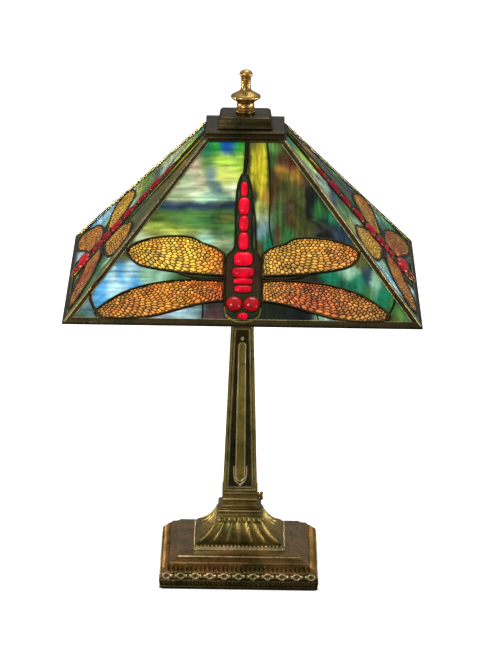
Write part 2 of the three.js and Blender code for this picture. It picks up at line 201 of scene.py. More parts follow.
# %% Patina
def patina_group():
    inputs = {"Metal": "color", "Crust": "color", "Wax": "color", "Age": "value"}
    tree, given, out = new_group(
        "bronze_patina", inputs, {"Color": "color", "Roughness": "value", "Height": "value"}
    )
    place = node(tree, "TexCoord").outputs["Object"]
    large = node(tree, "TexNoise", {"Vector": place}, Scale=34.0, Detail=5.0, Roughness=0.6)
    small = node(tree, "TexNoise", {"Vector": place}, Scale=260.0, Detail=4.0, Roughness=0.65)
    grit = node(tree, "TexVoronoi", {"Vector": place}, Scale=520.0)
    age = given.outputs["Age"]
    crusted = combined(tree, "MULTIPLY", spread(tree, large.outputs["Fac"], 0.42, 0.66), age)
    body = blend_colors(tree, crusted, given.outputs["Metal"], given.outputs["Crust"])
    waxed = combined(tree, "MULTIPLY", spread(tree, small.outputs["Fac"], 0.54, 0.74), age)
    color = blend_colors(tree, waxed, body, given.outputs["Wax"])
    tree.links.new(color, out.inputs["Color"])
    rough = spread(tree, small.outputs["Fac"], 0.3, 0.7, 0.24, 0.5)
    tree.links.new(rough, out.inputs["Roughness"])
    height = combined(tree, "ADD", small.outputs["Fac"], grit.outputs["Distance"])
    tree.links.new(height, out.inputs["Height"])
    return tree


PATINA = patina_group()
print("group:", PATINA.name)


# %% [markdown]
# Grain is for the quiet materials: felt, moulded plastic, zinc plate and cast iron. It breaks a
# flat colour with fine speckle, and gives the same speckle as height for a bump.


# %% Grain
def grain_group():
    inputs = {"Base": "color", "Fleck": "color", "Scale": "value"}
    tree, given, out = new_group(
        "fine_grain", inputs, {"Color": "color", "Roughness": "value", "Height": "value"}
    )
    place = node(tree, "TexCoord").outputs["Object"]
    speck = node(tree, "TexNoise", {"Vector": place, "Scale": given.outputs["Scale"]}, Detail=6.0)
    cloud = node(tree, "TexNoise", {"Vector": place}, Scale=30.0, Detail=3.0)
    both = combined(tree, "MULTIPLY", speck.outputs["Fac"], cloud.outputs["Fac"])
    mask = spread(tree, both, 0.16, 0.34)
    color = blend_colors(tree, mask, given.outputs["Base"], given.outputs["Fleck"])
    tree.links.new(color, out.inputs["Color"])
    tree.links.new(spread(tree, both, 0.1, 0.4, 0.35, 0.75), out.inputs["Roughness"])
    tree.links.new(speck.outputs["Fac"], out.inputs["Height"])
    return tree


GRAIN = grain_group()
print("group:", GRAIN.name)


# %% [markdown]
# ## Room tone
#
# Metal shows its room. In an all-white room bronze looks like paper, so the walls are dim near
# the floor and brighter overhead, while the camera still sees a plain white room behind the lamp.

# %% Room
world = bpy.data.worlds.new("room")
bpy.context.scene.world = world
world.use_nodes = True
room = world.node_tree
direction = node(room, "TexCoord").outputs["Generated"]
height = node(room, "SeparateXYZ", {"Vector": direction}).outputs["Z"]
walls = room.nodes["Background"]
room.links.new(
    blend_colors(room, spread(room, height, 0.0, 0.9), (0.2, 0.2, 0.19), (1, 1, 1)),
    walls.inputs["Color"],
)
walls.inputs["Strength"].default_value = 0.6
seen = node(room, "Background", Strength=1.0, Color=(1, 1, 1, 1))
swap = node(
    room,
    "MixShader",
    {0: node(room, "LightPath").outputs["Is Camera Ray"], 1: walls.outputs[0], 2: seen.outputs[0]},
)
room.links.new(swap.outputs[0], room.nodes["World Output"].inputs["Surface"])
print("room ready")


# %% [markdown]
# ## Materials
#
# Each material owns its shader. The glass is given a painted glow, which stands in for the
# bulbs' light shining through it, so a lit shade shows its colour from every side; the metals only
# reflect.


# %% Material makers
def shaded(name, group, colors, values, bump, fixed):
    """A material whose Principled shader takes colour, roughness and bump from a group."""
    made = bpy.data.materials.new(name)
    made.use_nodes = True
    tree = made.node_tree
    shader = tree.nodes["Principled BSDF"]
    effect = tree.nodes.new("ShaderNodeGroup")
    effect.node_tree = group
    for socket, color in colors.items():
        effect.inputs[socket].default_value = (*color, 1)
    for socket, value in values.items():
        effect.inputs[socket].default_value = value
    tree.links.new(effect.outputs["Color"], shader.inputs["Base Color"])
    tree.links.new(effect.outputs["Roughness"], shader.inputs["Roughness"])
    relief = node(tree, "Bump", {"Height": effect.outputs["Height"]}, Strength=bump, Distance=0.0004)
    tree.links.new(relief.outputs["Normal"], shader.inputs["Normal"])
    for socket, value in fixed.items():
        shader.inputs[socket].default_value = value
    return made, effect, shader


def bronze(name, metal, crust, wax, age, bump=0.35):
    colors = {"Metal": linear(metal), "Crust": linear(crust), "Wax": linear(wax)}
    made, _, _ = shaded(name, PATINA, colors, {"Age": age}, bump, {"Metallic": 1.0})
    return made


def plain(name, base, fleck, scale, metallic, bump):
    colors = {"Base": linear(base), "Fleck": linear(fleck)}
    made, _, _ = shaded(name, GRAIN, colors, {"Scale": scale}, bump, {"Metallic": metallic})
    return made


ANTIQUE = bronze("antique_bronze", "9c844a", "565830", "261f10", 0.9)
BROWN = bronze("brown_bronze", "a47c4a", "60582c", "2a1e10", 0.9)
OLIVE = bronze("olive_bronze", "bca856", "6e7034", "2c2812", 0.8)
# Dark metal for the column's hollows: wax in the recesses together with painted shade.
HOLLOW_WAX_AND_SHADE = bronze("waxed_hollow_painted_shade", "4c4428", "2a3020", "120f0a", 0.95)
# Bright metal for eased edges and fillets: wear from polish and hands, and a painted highlight.
RUBBED_AND_HIGHLIT = bronze("rubbed_edges_painted_highlight", "e8d8a4", "948a58", "40341c", 0.75, 0.2)
# Bright gilt for arches, beads and reeds: worn gilt, and a painted highlight.
GILT_AND_HIGHLIGHT = bronze("worn_gilt_painted_highlight", "f0e0b4", "b0a478", "584c30", 0.7, 0.15)
DARK = bronze("dark_bronze", "4c4028", "2c3020", "110e09", 0.9)
LEAD = bronze("lead_came", "3a301c", "22241a", "0e0b08", 0.8)
# Pale metal for the shade's rails and ridges: wear, and a painted highlight.
WORN_AND_HIGHLIGHT = bronze("worn_strip_edges_painted_highlight", "a89c70", "5e663c", "2a2414", 0.85, 0.2)
NET = bronze("net_bronze", "4a3214", "30240e", "140c06", 0.7)
BRASS = bronze("polished_brass", "be9a5e", "76602c", "30220e", 0.85, 0.12)
ZINC = plain("zinc_plate", "9a9a96", "c4c4c0", 700.0, 1.0, 0.15)
IRON = plain("cast_iron", "2c2b2a", "4a4846", 300.0, 0.6, 0.6)
FELT = plain("green_felt", "1c3424", "2c4a34", 900.0, 0.0, 0.9)
BLACK = plain("black_plastic", "121212", "26262a", 600.0, 0.0, 0.2)
print("metals and plain materials:", len(bpy.data.materials))


# %% [markdown]
# The glass is opalescent: milky inside, glossy outside. One maker gives it a place to read its
# streaks from, a tint painted on each piece, and a share of painted glow for the bulbs' light.


# %% Glass makers
# The glow is emission: on the shade's glass it is painted light for the bulbs shining through; on
# the bulb it is the lamp's own.
def glass(name, tint_from, glow, wisps, scale, gloss=0.3, coat=0.1, mapped=True):
    fixed = {
        "Metallic": 0.0, "IOR": 1.5,
        "Specular IOR Level": gloss,
        "Coat Weight": coat,
        "Coat Roughness": 0.06,
        "Emission Strength": glow,
    }
    made, effect, shader = shaded(name, STREAKS, {}, {"Wisps": wisps}, 0.35, fixed)
    tree = made.node_tree
    if mapped:
        place = node(tree, "UVMap", uv_map="panel").outputs["UV"]
    else:
        place = node(tree, "TexCoord").outputs["Object"]
    effect.inputs["Scale"].default_value = scale
    tree.links.new(place, effect.inputs["Place"])
    if isinstance(tint_from, str):
        paint = node(tree, "Attribute", attribute_name=tint_from)
        tree.links.new(paint.outputs["Color"], effect.inputs["Tint"])
    else:
        effect.inputs["Tint"].default_value = (*tint_from, 1)
    tree.links.new(effect.outputs["Color"], shader.inputs["Emission Color"])
    return made


SHEET = glass("streaky_sheet_glass", "tint", 0.55, 0.03, 1.0, gloss=0.15, coat=0.05)
AMBER = glass("amber_wing_glass", "tint", 0.45, 0.0, 2.2, gloss=0.5)
RUBY = glass("ruby_glass", linear("d80428"), 0.56, 0.0, 1.5, gloss=0.12)
# A darker, dimmer ruby for the jewels on the left and right sides: painted shade.
SIDE_SHADED_RUBY = glass("ruby_glass_side_shade", linear("8c0a1c"), 0.3, 0.0, 1.5, gloss=0.12)
GARNET = glass("garnet_eye_glass", linear("a80012"), 0.36, 0.0, 1.5, gloss=0.2, coat=0.3)
PEARL = glass("pearl_bulb_glass", linear("e8dcc0"), 0.3, 0.3, 1.0, gloss=0.5, mapped=False)
print("glass materials ready")


# %% [markdown]
# ## Workshop helpers
#
# Two ways of making a body cover most of the metal. A square moulding starts as a plane that is
# extruded and scaled, step by step. A turned piece starts as half an outline that is spun round
# an axis. Both then get their sharp edges eased, and the eased strip takes a brighter metal:
# partly the wear of polish and hands on the corners, partly a painted highlight along the edges.


# %% Selecting and finishing
def deselect_all():
    if bpy.context.mode != "OBJECT":
        bpy.ops.object.mode_set(mode="OBJECT")
    bpy.ops.object.select_all(action="DESELECT")


def pick(obj):
    deselect_all()
    obj.select_set(True)
    bpy.context.view_layer.objects.active = obj


def edit(obj):
    pick(obj)
    bpy.ops.object.mode_set(mode="EDIT")
    bpy.ops.mesh.select_all(action="SELECT")


def close_up(obj):
    edit(obj)
    bpy.ops.mesh.remove_doubles(threshold=2e-6)
    bpy.ops.mesh.normals_make_consistent(inside=False)
    bpy.ops.object.mode_set(mode="OBJECT")


def named(name):
    obj = bpy.context.object
    obj.name = obj.data.name = name
    return obj


def mesh_object(name, verts, edges=(), faces=()):
    mesh = bpy.data.meshes.new(name)
    mesh.from_pydata(verts, list(edges), list(faces))
    obj = bpy.data.objects.new(name, mesh)
    bpy.context.scene.collection.objects.link(obj)
    return obj


def ease_edges(obj, width, segments=2, angle=28, brighten=True):
    """Rounds the sharp edges; the rounded strips can take the second metal, a brighter one for wear
    and a painted highlight.
    """
    pick(obj)
    bevel = obj.modifiers.new("ease", "BEVEL")
    bevel.width, bevel.segments = width * MM, segments
    bevel.limit_method, bevel.angle_limit = "ANGLE", math.radians(angle)
    bevel.use_clamp_overlap = True
    if brighten:
        bevel.material = 1
    bpy.ops.object.modifier_apply(modifier="ease")
    bpy.ops.object.shade_smooth_by_angle(angle=math.radians(35))


def thicken(obj, thickness, offset=-1):
    pick(obj)
    wall = obj.modifiers.new("wall", "SOLIDIFY")
    wall.thickness, wall.offset = thickness * MM, offset
    bpy.ops.object.modifier_apply(modifier="wall")


def dress(obj, body, materials, replaces=()):
    """Gives a finished piece its materials, its body and the part of the frame it stands for."""
    for material in materials:
        obj.data.materials.append(material)
    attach(obj, body)
    if replaces:
        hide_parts(*replaces)
    return obj


def square_stack(name, profile):
    """A square moulding: a plane, extruded and scaled through each (half width, height)."""
    deselect_all()
    half, level = profile[0]
    bpy.ops.mesh.primitive_plane_add(size=2 * half * MM, location=(0, 0, level * MM))
    obj = named(name)
    bpy.ops.object.transform_apply(location=True)
    edit(obj)
    for next_half, next_level in profile[1:]:
        rise = (0, 0, (next_level - level) * MM)
        bpy.ops.mesh.extrude_region_move(TRANSFORM_OT_translate={"value": rise})
        grow = next_half / half
        bpy.ops.transform.resize(value=(grow, grow, 1))
        half, level = next_half, next_level
    close_up(obj)
    return obj


def turned(name, profile, steps=48, closed=False):
    """A turned piece: half an outline of (radius, height) points, spun round Z."""
    count = len(profile)
    edges = [(i, i + 1) for i in range(count - 1)] + ([(count - 1, 0)] if closed else [])
    obj = mesh_object(name, [(r * MM, 0, z * MM) for r, z in profile], edges)
    edit(obj)
    bpy.ops.mesh.spin(steps=steps, angle=2 * math.pi, center=(0, 0, 0), axis=(0, 0, 1))
    close_up(obj)
    bpy.ops.object.shade_smooth_by_angle(angle=math.radians(40))
    return obj


def along_x(obj, side, height):
    """Lays a piece turned round Z along the X axis, pointing to one side, at a height."""
    obj.data.transform(Matrix.Rotation(side * math.pi / 2, 4, "Y"))
    obj.data.transform(Matrix.Translation((0, 0, height * MM)))


def copies(name, seed, places):
    """One piece made of a copy of the seed mesh at each place; the seed is then removed."""
    gathered = bmesh.new()
    for place in places:
        one = seed.data.copy()
        one.transform(place)
        gathered.from_mesh(one)
        bpy.data.meshes.remove(one)
    mesh = bpy.data.meshes.new(name)
    gathered.to_mesh(mesh)
    gathered.free()
    obj = bpy.data.objects.new(name, mesh)
    bpy.context.scene.collection.objects.link(obj)
    bpy.data.objects.remove(seed)
    return obj


def clear_away(*seeds):
    for seed in seeds:
        bpy.data.objects.remove(seed)


def quarter_turn(i):
    return Matrix.Rotation(i * math.pi / 2, 4, "Z")


print("workshop ready")


# %% [markdown]
# ## Base
#
# The base is one casting: a plain dark plinth with small arches and beads, a sloping band of
# tongues, two steps, and a fluted flare that rises to the column. Here the steps are one square
# moulding. Each ornament is modelled once and set out along the four sides.

# %% Base steps
BAND_FOOT, BAND_HEAD = (91.5, 20.2), (81.8, 27.6)
BASE_STEPS = [
    (92.6, 1.5), (92.6, 4.0), (92.0, 4.5), (92.0, 5.3), (92.6, 5.8), (92.6, 11.6), (92.0, 12.1),
    (92.0, 13.2), (90.3, 13.8), (90.3, 19.3), BAND_FOOT, BAND_HEAD, (80.4, 28.5),
    (81.0, 29.1), (81.0, 30.3), (79.6, 30.9), (75.4, 32.2), (74.4, 33.1), (72.4, 33.5),
    (71.8, 34.1), (71.8, 35.1), (71.0, 35.6), (54.6, 36.6), (53.6, 37.1), (53.6, 40.2),
    (52.8, 41.2), (51.2, 41.6), (50.0, 43.0), (46.0, 44.0),
]
base_steps = square_stack("base_steps", BASE_STEPS)
ease_edges(base_steps, 0.4)
dress(base_steps, "stand", [BROWN, RUBBED_AND_HIGHLIT, DARK], ["base_casting"])
PLINTH_TOP = 13.6


def rub_and_highlight_fillets(obj, levels):
    """Upright faces between these heights take the brighter metal, the second one: wear and a
    painted highlight.
    """
    for face in obj.data.polygons:
        level = face.center.z / MM
        if any(low < level < high for low, high in levels) and abs(face.normal.z) < 0.3:
            face.material_index = 1


for face in base_steps.data.polygons:
    if face.material_index == 0 and face.center.z < PLINTH_TOP * MM:
        face.material_index = 2
rub_and_highlight_fillets(base_steps, ((29.2, 30.2), (34.2, 35.0), (37.3, 40.0)))
print("base steps:", len(base_steps.data.polygons), "faces")

# %% [markdown]
# Round the plinth runs a row of small arches with two beads between each pair. An arch is a ring
# pressed oval; a bead is a small sphere, flattened at the back. Both have few faces, as they are
# repeated many times. Smaller beads mark the foot of the flare.

# %% Arch and bead rows
ARCH_PITCH = 16.9
ARCHES_A_SIDE = 11


def small_bead(radius, stretch):
    deselect_all()
    bpy.ops.mesh.primitive_uv_sphere_add(segments=8, ring_count=6, radius=radius * MM)
    bead = named("bead")
    edit(bead)
    bpy.ops.transform.resize(value=(1.0, 0.95, stretch))
    bpy.ops.mesh.bisect(
        plane_co=(0, 0.45 * radius * MM, 0), plane_no=(0, 1, 0), use_fill=True, clear_outer=True
    )
    bpy.ops.object.mode_set(mode="OBJECT")
    bpy.ops.object.shade_smooth()
    return bead


def row_places(count, pitch, out, level):
    """Even places along one face of the base, centred, a distance out and a height up."""
    across = [(k - (count - 1) / 2) * pitch * MM for k in range(count)]
    return [Matrix.Translation((x, -out * MM, level * MM)) for x in across]


def all_round(places):
    return [quarter_turn(side) @ place for side in range(4) for place in places]


deselect_all()
bpy.ops.mesh.primitive_torus_add(
    major_segments=16, minor_segments=6, major_radius=3.3 * MM, minor_radius=0.95 * MM
)
arch = named("arch")
edit(arch)
bpy.ops.transform.resize(value=(1.22, 1.0, 0.9))
bpy.ops.object.mode_set(mode="OBJECT")
arch.data.transform(Matrix.Rotation(math.pi / 2, 4, "X"))
bpy.ops.object.shade_smooth()
arches = row_places(ARCHES_A_SIDE, ARCH_PITCH, 91.5, 16.6)
arch_row = copies("base_arch_row", arch, all_round(arches))
dress(arch_row, "stand", [GILT_AND_HIGHLIGHT])
between = [
    place @ Matrix.Translation((step * MM, 0, 0)) for place in arches[:-1] for step in (5.9, 11.0)
]
bead_row = copies("base_bead_row", small_bead(1.7, 1.5), all_round(between))
dress(bead_row, "stand", [GILT_AND_HIGHLIGHT])
foot_beads = copies(
    "base_foot_beads", small_bead(1.15, 1.0), all_round(row_places(23, 4.5, 52.4, 41.2))
)
dress(foot_beads, "stand", [RUBBED_AND_HIGHLIT])
print("arches:", 4 * len(arches), "beads:", 4 * len(between))

# %% [markdown]
# A tongue is a twelve-sided disc: extruded and shrunk, then pressed in again so that only its rim
# stands up. The tongues lie on the sloping band, which leans back by about 37 degrees, and a
# smaller set hangs below the arches.

# %% Tongue frieze
TONGUE_PITCH = 5.26975
TONGUES_A_SIDE = 32


def tongue(half_width, half_height, lift, point):
    deselect_all()
    bpy.ops.mesh.primitive_circle_add(vertices=12, radius=half_width * MM, fill_type="NGON")
    leaf = named("tongue")
    edit(leaf)
    bpy.ops.transform.resize(value=(1.0, half_height / half_width, 1.0))
    for rise, shrink in ((0.8, 0.94), (0.2, 0.78), (-1.0, 0.66)):
        bpy.ops.mesh.extrude_region_move(TRANSFORM_OT_translate={"value": (0, 0, rise * lift * MM)})
        bpy.ops.transform.resize(value=(shrink, 0.5 + shrink / 2, 1))
    bpy.ops.object.mode_set(mode="OBJECT")
    for vertex in leaf.data.vertices:
        up = max(vertex.co.y, 0) / (half_height * MM)
        vertex.co.x *= 1 - point * up * up
    close_up(leaf)
    bpy.ops.object.shade_smooth_by_angle(angle=math.radians(50))
    return leaf


lean = math.atan2(BAND_HEAD[1] - BAND_FOOT[1], BAND_FOOT[0] - BAND_HEAD[0])
BAND_LEAN = Matrix.Rotation(lean, 4, "X")
slots = row_places(TONGUES_A_SIDE, TONGUE_PITCH, 86.8, 23.8)
tongues = copies(
    "base_tongue_frieze", tongue(2.35, 5.8, 1.1, 0.3), all_round([s @ BAND_LEAN for s in slots])
)
dress(tongues, "stand", [BROWN])
HANG = Matrix.Rotation(math.pi / 2, 4, "X") @ Matrix.Rotation(math.pi, 4, "Z")
drops = row_places(31, 5.8, 92.5, 9.0)
hanging = copies(
    "base_hanging_tongues", tongue(2.3, 2.7, 0.7, 0.5), all_round([d @ HANG for d in drops])
)
dress(hanging, "stand", [ANTIQUE])
print("tongues:", 4 * len(slots), "and", 4 * len(drops), "small ones")

# %% [markdown]
# The flare is a square trumpet with hollow flutes that fan out downwards. Each face starts as a
# grid. Its points are set on the trumpet's curve, then pushed in between the ribs, and the push
# fades at both ends so that every flute closes in a round scallop.

# %% Fluted flare
FLARE = [
    (50.0, 43.4), (44.5, 46.8), (39.2, 50.8), (34.6, 55.6), (30.8, 60.8), (27.8, 66.4),
    (26.2, 69.2),
]
FLUTES = 6
FLUTE_DEPTH = 2.0


def along(points, share):
    """A point and direction on a smooth curve through a short list of points."""
    place = min(max(share, 0.0), 1.0) * (len(points) - 1)
    i = min(int(place), len(points) - 2)
    t = place - i
    p0, p1 = Vector(points[max(i - 1, 0)]), Vector(points[i])
    p2, p3 = Vector(points[i + 1]), Vector(points[min(i + 2, len(points) - 1)])
    m1, m2 = (p2 - p0) / 2, (p3 - p1) / 2
    spot = (
        (2 * t**3 - 3 * t**2 + 1) * p1
        + (t**3 - 2 * t**2 + t) * m1
        + (3 * t**2 - 2 * t**3) * p2
        + (t**3 - t**2) * m2
    )
    way = (
        (6 * t**2 - 6 * t) * p1
        + (3 * t**2 - 4 * t + 1) * m1
        + (6 * t - 6 * t**2) * p2
        + (3 * t**2 - 2 * t) * m2
    )
    return spot, way.normalized()


def flare_point(across, up):
    (half, level), (run, rise) = along(FLARE, up)
    lane = (across + 1) / 2 * FLUTES
    hollow = math.sqrt(abs(math.sin(math.pi * lane)))
    reach = min(1.0, max(0.0, (up - 0.03 - 0.06 * (1 - hollow)) / 0.1))
    close = min(1.0, max(0.0, (0.9 - 0.06 * (1 - hollow) - up) / 0.08))
    push = FLUTE_DEPTH * (1 - 0.35 * up) * hollow * math.sqrt(reach * close)
    return Vector((across * half, -half + rise * push, level + run * push)) * MM


deselect_all()
bpy.ops.mesh.primitive_grid_add(x_subdivisions=96, y_subdivisions=30, size=2)
flare_face = named("flare_face")
for vertex in flare_face.data.vertices:
    vertex.co = flare_point(vertex.co.x, (vertex.co.y + 1) / 2)
base_flare = copies("base_flare", flare_face, [quarter_turn(i) for i in range(4)])
close_up(base_flare)
bpy.ops.object.shade_smooth_by_angle(angle=math.radians(50))
dress(base_flare, "stand", [ANTIQUE])
print("flare:", len(base_flare.data.polygons), "faces")

# %% [markdown]
# Over the flutes runs a band with a small leaf tip above each rib. The neck and the collar, which
# carries the switch, follow as two more square mouldings.

# %% Neck and collar
neck_band = square_stack(
    "base_neck_band",
    [
        (26.4, 68.8), (26.4, 69.8), (25.0, 70.6), (24.6, 71.4), (24.6, 74.6), (25.6, 75.4),
        (25.6, 76.8), (24.8, 77.5),
    ],
)
ease_edges(neck_band, 0.35)
dress(neck_band, "stand", [ANTIQUE, RUBBED_AND_HIGHLIT])
rub_and_highlight_fillets(neck_band, ((75.0, 77.2),))
collar = square_stack(
    "switch_collar_moulding",
    [
        (23.2, 77.9), (23.2, 78.7), (21.4, 79.5), (19.8, 80.6), (19.6, 81.6), (19.6, 87.0),
        (20.1, 88.0), (20.9, 88.5), (20.9, 89.7), (20.3, 90.3), (20.3, 95.4), (20.9, 96.0),
        (21.1, 97.4), (20.5, 98.3),
    ],
)
ease_edges(collar, 0.35)
dress(collar, "stand", [ANTIQUE, RUBBED_AND_HIGHLIT], ["switch_collar"])
rub_and_highlight_fillets(collar, ((96.0, 98.0), (88.5, 89.7)))
print("neck and collar done")

# %% Leaf tips under the neck band
deselect_all()
bpy.ops.mesh.primitive_circle_add(vertices=10, radius=2.2 * MM, fill_type="NGON")
tip = named("tip")
edit(tip)
bpy.ops.transform.resize(value=(1.0, 1.9, 1.0))
for lift, shrink in ((0.6, 0.9), (0.5, 0.5)):
    bpy.ops.mesh.extrude_region_move(TRANSFORM_OT_translate={"value": (0, 0, lift * MM)})
    bpy.ops.transform.resize(value=(shrink, shrink, 1))
close_up(tip)
bpy.ops.object.shade_smooth_by_angle(angle=math.radians(50))
TIP_LEAN = Matrix.Rotation(math.radians(66), 4, "X")
tip_places = all_round([spot @ TIP_LEAN for spot in row_places(9, 5.7, 27.6, 66.2)])
leaf_tips = copies("base_leaf_tips", tip, tip_places)
dress(leaf_tips, "stand", [ANTIQUE])
print("leaf tips:", len(tip_places))

# %% [markdown]
# ## Column
#
# The column is a tapered square tube. Each face is inset step by step, which leaves a plain
# border, a narrow groove, a raised fillet and a sunk panel, just as a pattern-maker would plane
# it. On each panel lies a long reed inside a loop, with a bead above and a small cup below.

# %% Column shell
COLUMN_FOOT, COLUMN_TOP = (20.2, 98.7), (13.2, 300.0)
TAPER = math.atan2(COLUMN_FOOT[0] - COLUMN_TOP[0], COLUMN_TOP[1] - COLUMN_FOOT[1])
COLUMN_INSETS = ((2.4, 0.0), (0.3, -0.8), (1.5, 0.0), (0.3, 0.7), (1.0, 0.0), (0.4, -1.4))
GROOVE_DEPTH = 0.5
SHADED_HOLLOW_SLOT = 2


def column_face(side, sunk=1.5):
    stand = Matrix.Rotation(math.pi / 2 - TAPER, 4, "X")
    foot = Matrix.Translation((0, -COLUMN_FOOT[0] * MM, COLUMN_FOOT[1] * MM))
    return quarter_turn(side) @ foot @ stand @ Matrix.Translation((0, 0, -sunk * MM))


column = square_stack("column_body", [COLUMN_FOOT, COLUMN_TOP])
edit(column)
bpy.ops.mesh.select_all(action="DESELECT")
bpy.ops.object.mode_set(mode="OBJECT")
for face in column.data.polygons:
    face.select = abs(face.normal.z) < 0.5
bpy.ops.object.mode_set(mode="EDIT")
for thickness, depth in COLUMN_INSETS:
    bpy.ops.mesh.inset(thickness=thickness * MM, depth=depth * MM, use_individual=True)
bpy.ops.object.mode_set(mode="OBJECT")
# The sunk panels, and then the faces deeper than the groove, take the dark hollow metal: wax with
# painted shade.
for face in column.data.polygons:
    if face.select:
        face.material_index = SHADED_HOLLOW_SLOT
for material in (OLIVE, RUBBED_AND_HIGHLIT, HOLLOW_WAX_AND_SHADE):
    column.data.materials.append(material)
close_up(column)
ease_edges(column, 0.2)
to_flat = [column_face(side, 0.0).inverted() for side in range(4)]
for face in column.data.polygons:
    depth = max((turn @ face.center).z for turn in to_flat) / MM
    if face.material_index == 0 and depth < -GROOVE_DEPTH:
        face.material_index = SHADED_HOLLOW_SLOT
dress(column, "stand", [], ["column_shell"])
print("column:", len(column.data.polygons), "faces")

# %% [markdown]
# The loop is a closed curve with a round section. The ground inside it and the reed on it are
# plates with round ends and eased rims. All are laid out flat before they are stood up against
# each face of the column.

# %% Column reeds
def tube_along(name, points, radius, closed=False, sides=3):
    """A round bar along a line of (u, v) or (u, v, w) points, as a mesh."""
    data = bpy.data.curves.new(name, "CURVE")
    data.dimensions = "3D"
    data.bevel_depth, data.bevel_resolution, data.use_fill_caps = radius * MM, sides, True
    spline = data.splines.new("POLY")
    spline.points.add(len(points) - 1)
    spline.use_cyclic_u = closed
    for target, point in zip(spline.points, points):
        u, v, w = (*point, 0)[:3]
        target.co = (u * MM, v * MM, w * MM, 1)
    obj = bpy.data.objects.new(name, data)
    bpy.context.scene.collection.objects.link(obj)
    pick(obj)
    bpy.ops.object.convert(target="MESH")
    obj = bpy.context.object
    bpy.ops.object.shade_smooth()
    return obj


def joined(name, parts):
    deselect_all()
    for part in parts:
        part.select_set(True)
    bpy.context.view_layer.objects.active = parts[0]
    bpy.ops.object.join()
    return named(name)


def stadium(low, high, low_half, high_half, steps=10):
    """A long outline with a half circle at each end."""

    def half_circle(level, half, start):
        turn = [start + math.pi * k / steps for k in range(steps + 1)]
        return [(half * math.cos(a), level + half * math.sin(a)) for a in turn]

    return half_circle(low, low_half, math.pi) + half_circle(high, high_half, 0)


def raised_plate(outline, low, high, bevel):
    """A flat plate with this outline, from one height to another, with its rim eased."""
    verts = [(u * MM, v * MM, low * MM) for u, v in outline]
    plate = mesh_object("plate", verts, faces=[range(len(verts))])
    edit(plate)
    bpy.ops.mesh.extrude_region_move(TRANSFORM_OT_translate={"value": (0, 0, (high - low) * MM)})
    close_up(plate)
    ease_edges(plate, bevel, brighten=False)
    return plate


def boss(level, radius):
    deselect_all()
    bpy.ops.mesh.primitive_uv_sphere_add(segments=16, ring_count=8, radius=radius * MM)
    edit(bpy.context.object)
    bpy.ops.transform.resize(value=(1, 1.25, 0.6))
    bpy.ops.object.mode_set(mode="OBJECT")
    bpy.ops.object.shade_smooth()
    made = named("boss")
    made.data.transform(Matrix.Translation((0, level * MM, 0.4 * MM)))
    return made


LOOP_LOW, LOOP_HIGH = 18, 176


def reed_lines():
    outline = stadium(LOOP_LOW, LOOP_HIGH, 5.3, 3.9)
    loop = tube_along("loop", [(*p, 0.7) for p in outline], 0.85, closed=True)
    scroll = [(-7.6, 31), (-7.4, 20), (-5.8, 13.2), (-2.6, 10.0), (0, 9.0)]
    scroll += [(-u, v) for u, v in reversed(scroll[:-1])]
    cup = tube_along("cup", [(*along(scroll, k / 30)[0], 0.4) for k in range(31)], 0.8)
    return joined("lines", [loop, cup, boss(184.8, 2.3), boss(7.4, 1.5)])


def reed_plates():
    """The flat ground inside the loop and the long reed on it."""
    ground = raised_plate(stadium(LOOP_LOW, LOOP_HIGH, 4.9, 3.5), -0.2, 0.5, 0.15)
    reed = raised_plate(stadium(24, 171, 2.4, 1.7), 0.3, 1.4, 0.5)
    return joined("plates", [ground, reed])


column_grounds = copies("column_grounds", reed_plates(), [column_face(i) for i in range(4)])
dress(column_grounds, "stand", [OLIVE])
column_reeds = copies("column_reeds", reed_lines(), [column_face(i) for i in range(4)])
dress(column_reeds, "stand", [GILT_AND_HIGHLIGHT])
print("reeds:", len(column_reeds.data.polygons), "faces")

# %% [markdown]
# ## Cap and finial
#
# The cap is two dark square trays, one on the other. The finial is brass, turned on a lathe: a
# collar, a waist, a wide flared disc, a stem with two rings and a squashed ball.

# %% Cap
cap_skirt = square_stack(
    "cap_skirt_moulding",
    [
        (44.0, 529.2), (45.5, 529.2), (45.5, 530.3), (44.9, 530.8), (44.9, 534.4), (45.7, 534.9),
        (45.7, 536.3), (45.0, 537.1), (43.6, 537.4), (34.0, 537.5),
    ],
)
ease_edges(cap_skirt, 0.3)
dress(cap_skirt, "cap", [DARK, RUBBED_AND_HIGHLIT], ["cap_skirt"])
cap_crown = square_stack(
    "cap_crown_moulding",
    [
        (32.2, 537.9), (32.2, 539.1), (31.2, 539.8), (30.5, 541.0), (30.1, 543.4), (29.8, 546.0),
        (29.0, 548.4), (27.6, 550.1), (25.8, 550.9), (14.0, 551.0),
    ],
)
ease_edges(cap_crown, 0.3, segments=3, angle=24)
dress(cap_crown, "cap", [DARK, RUBBED_AND_HIGHLIT], ["cap_crown"])
print("cap done")

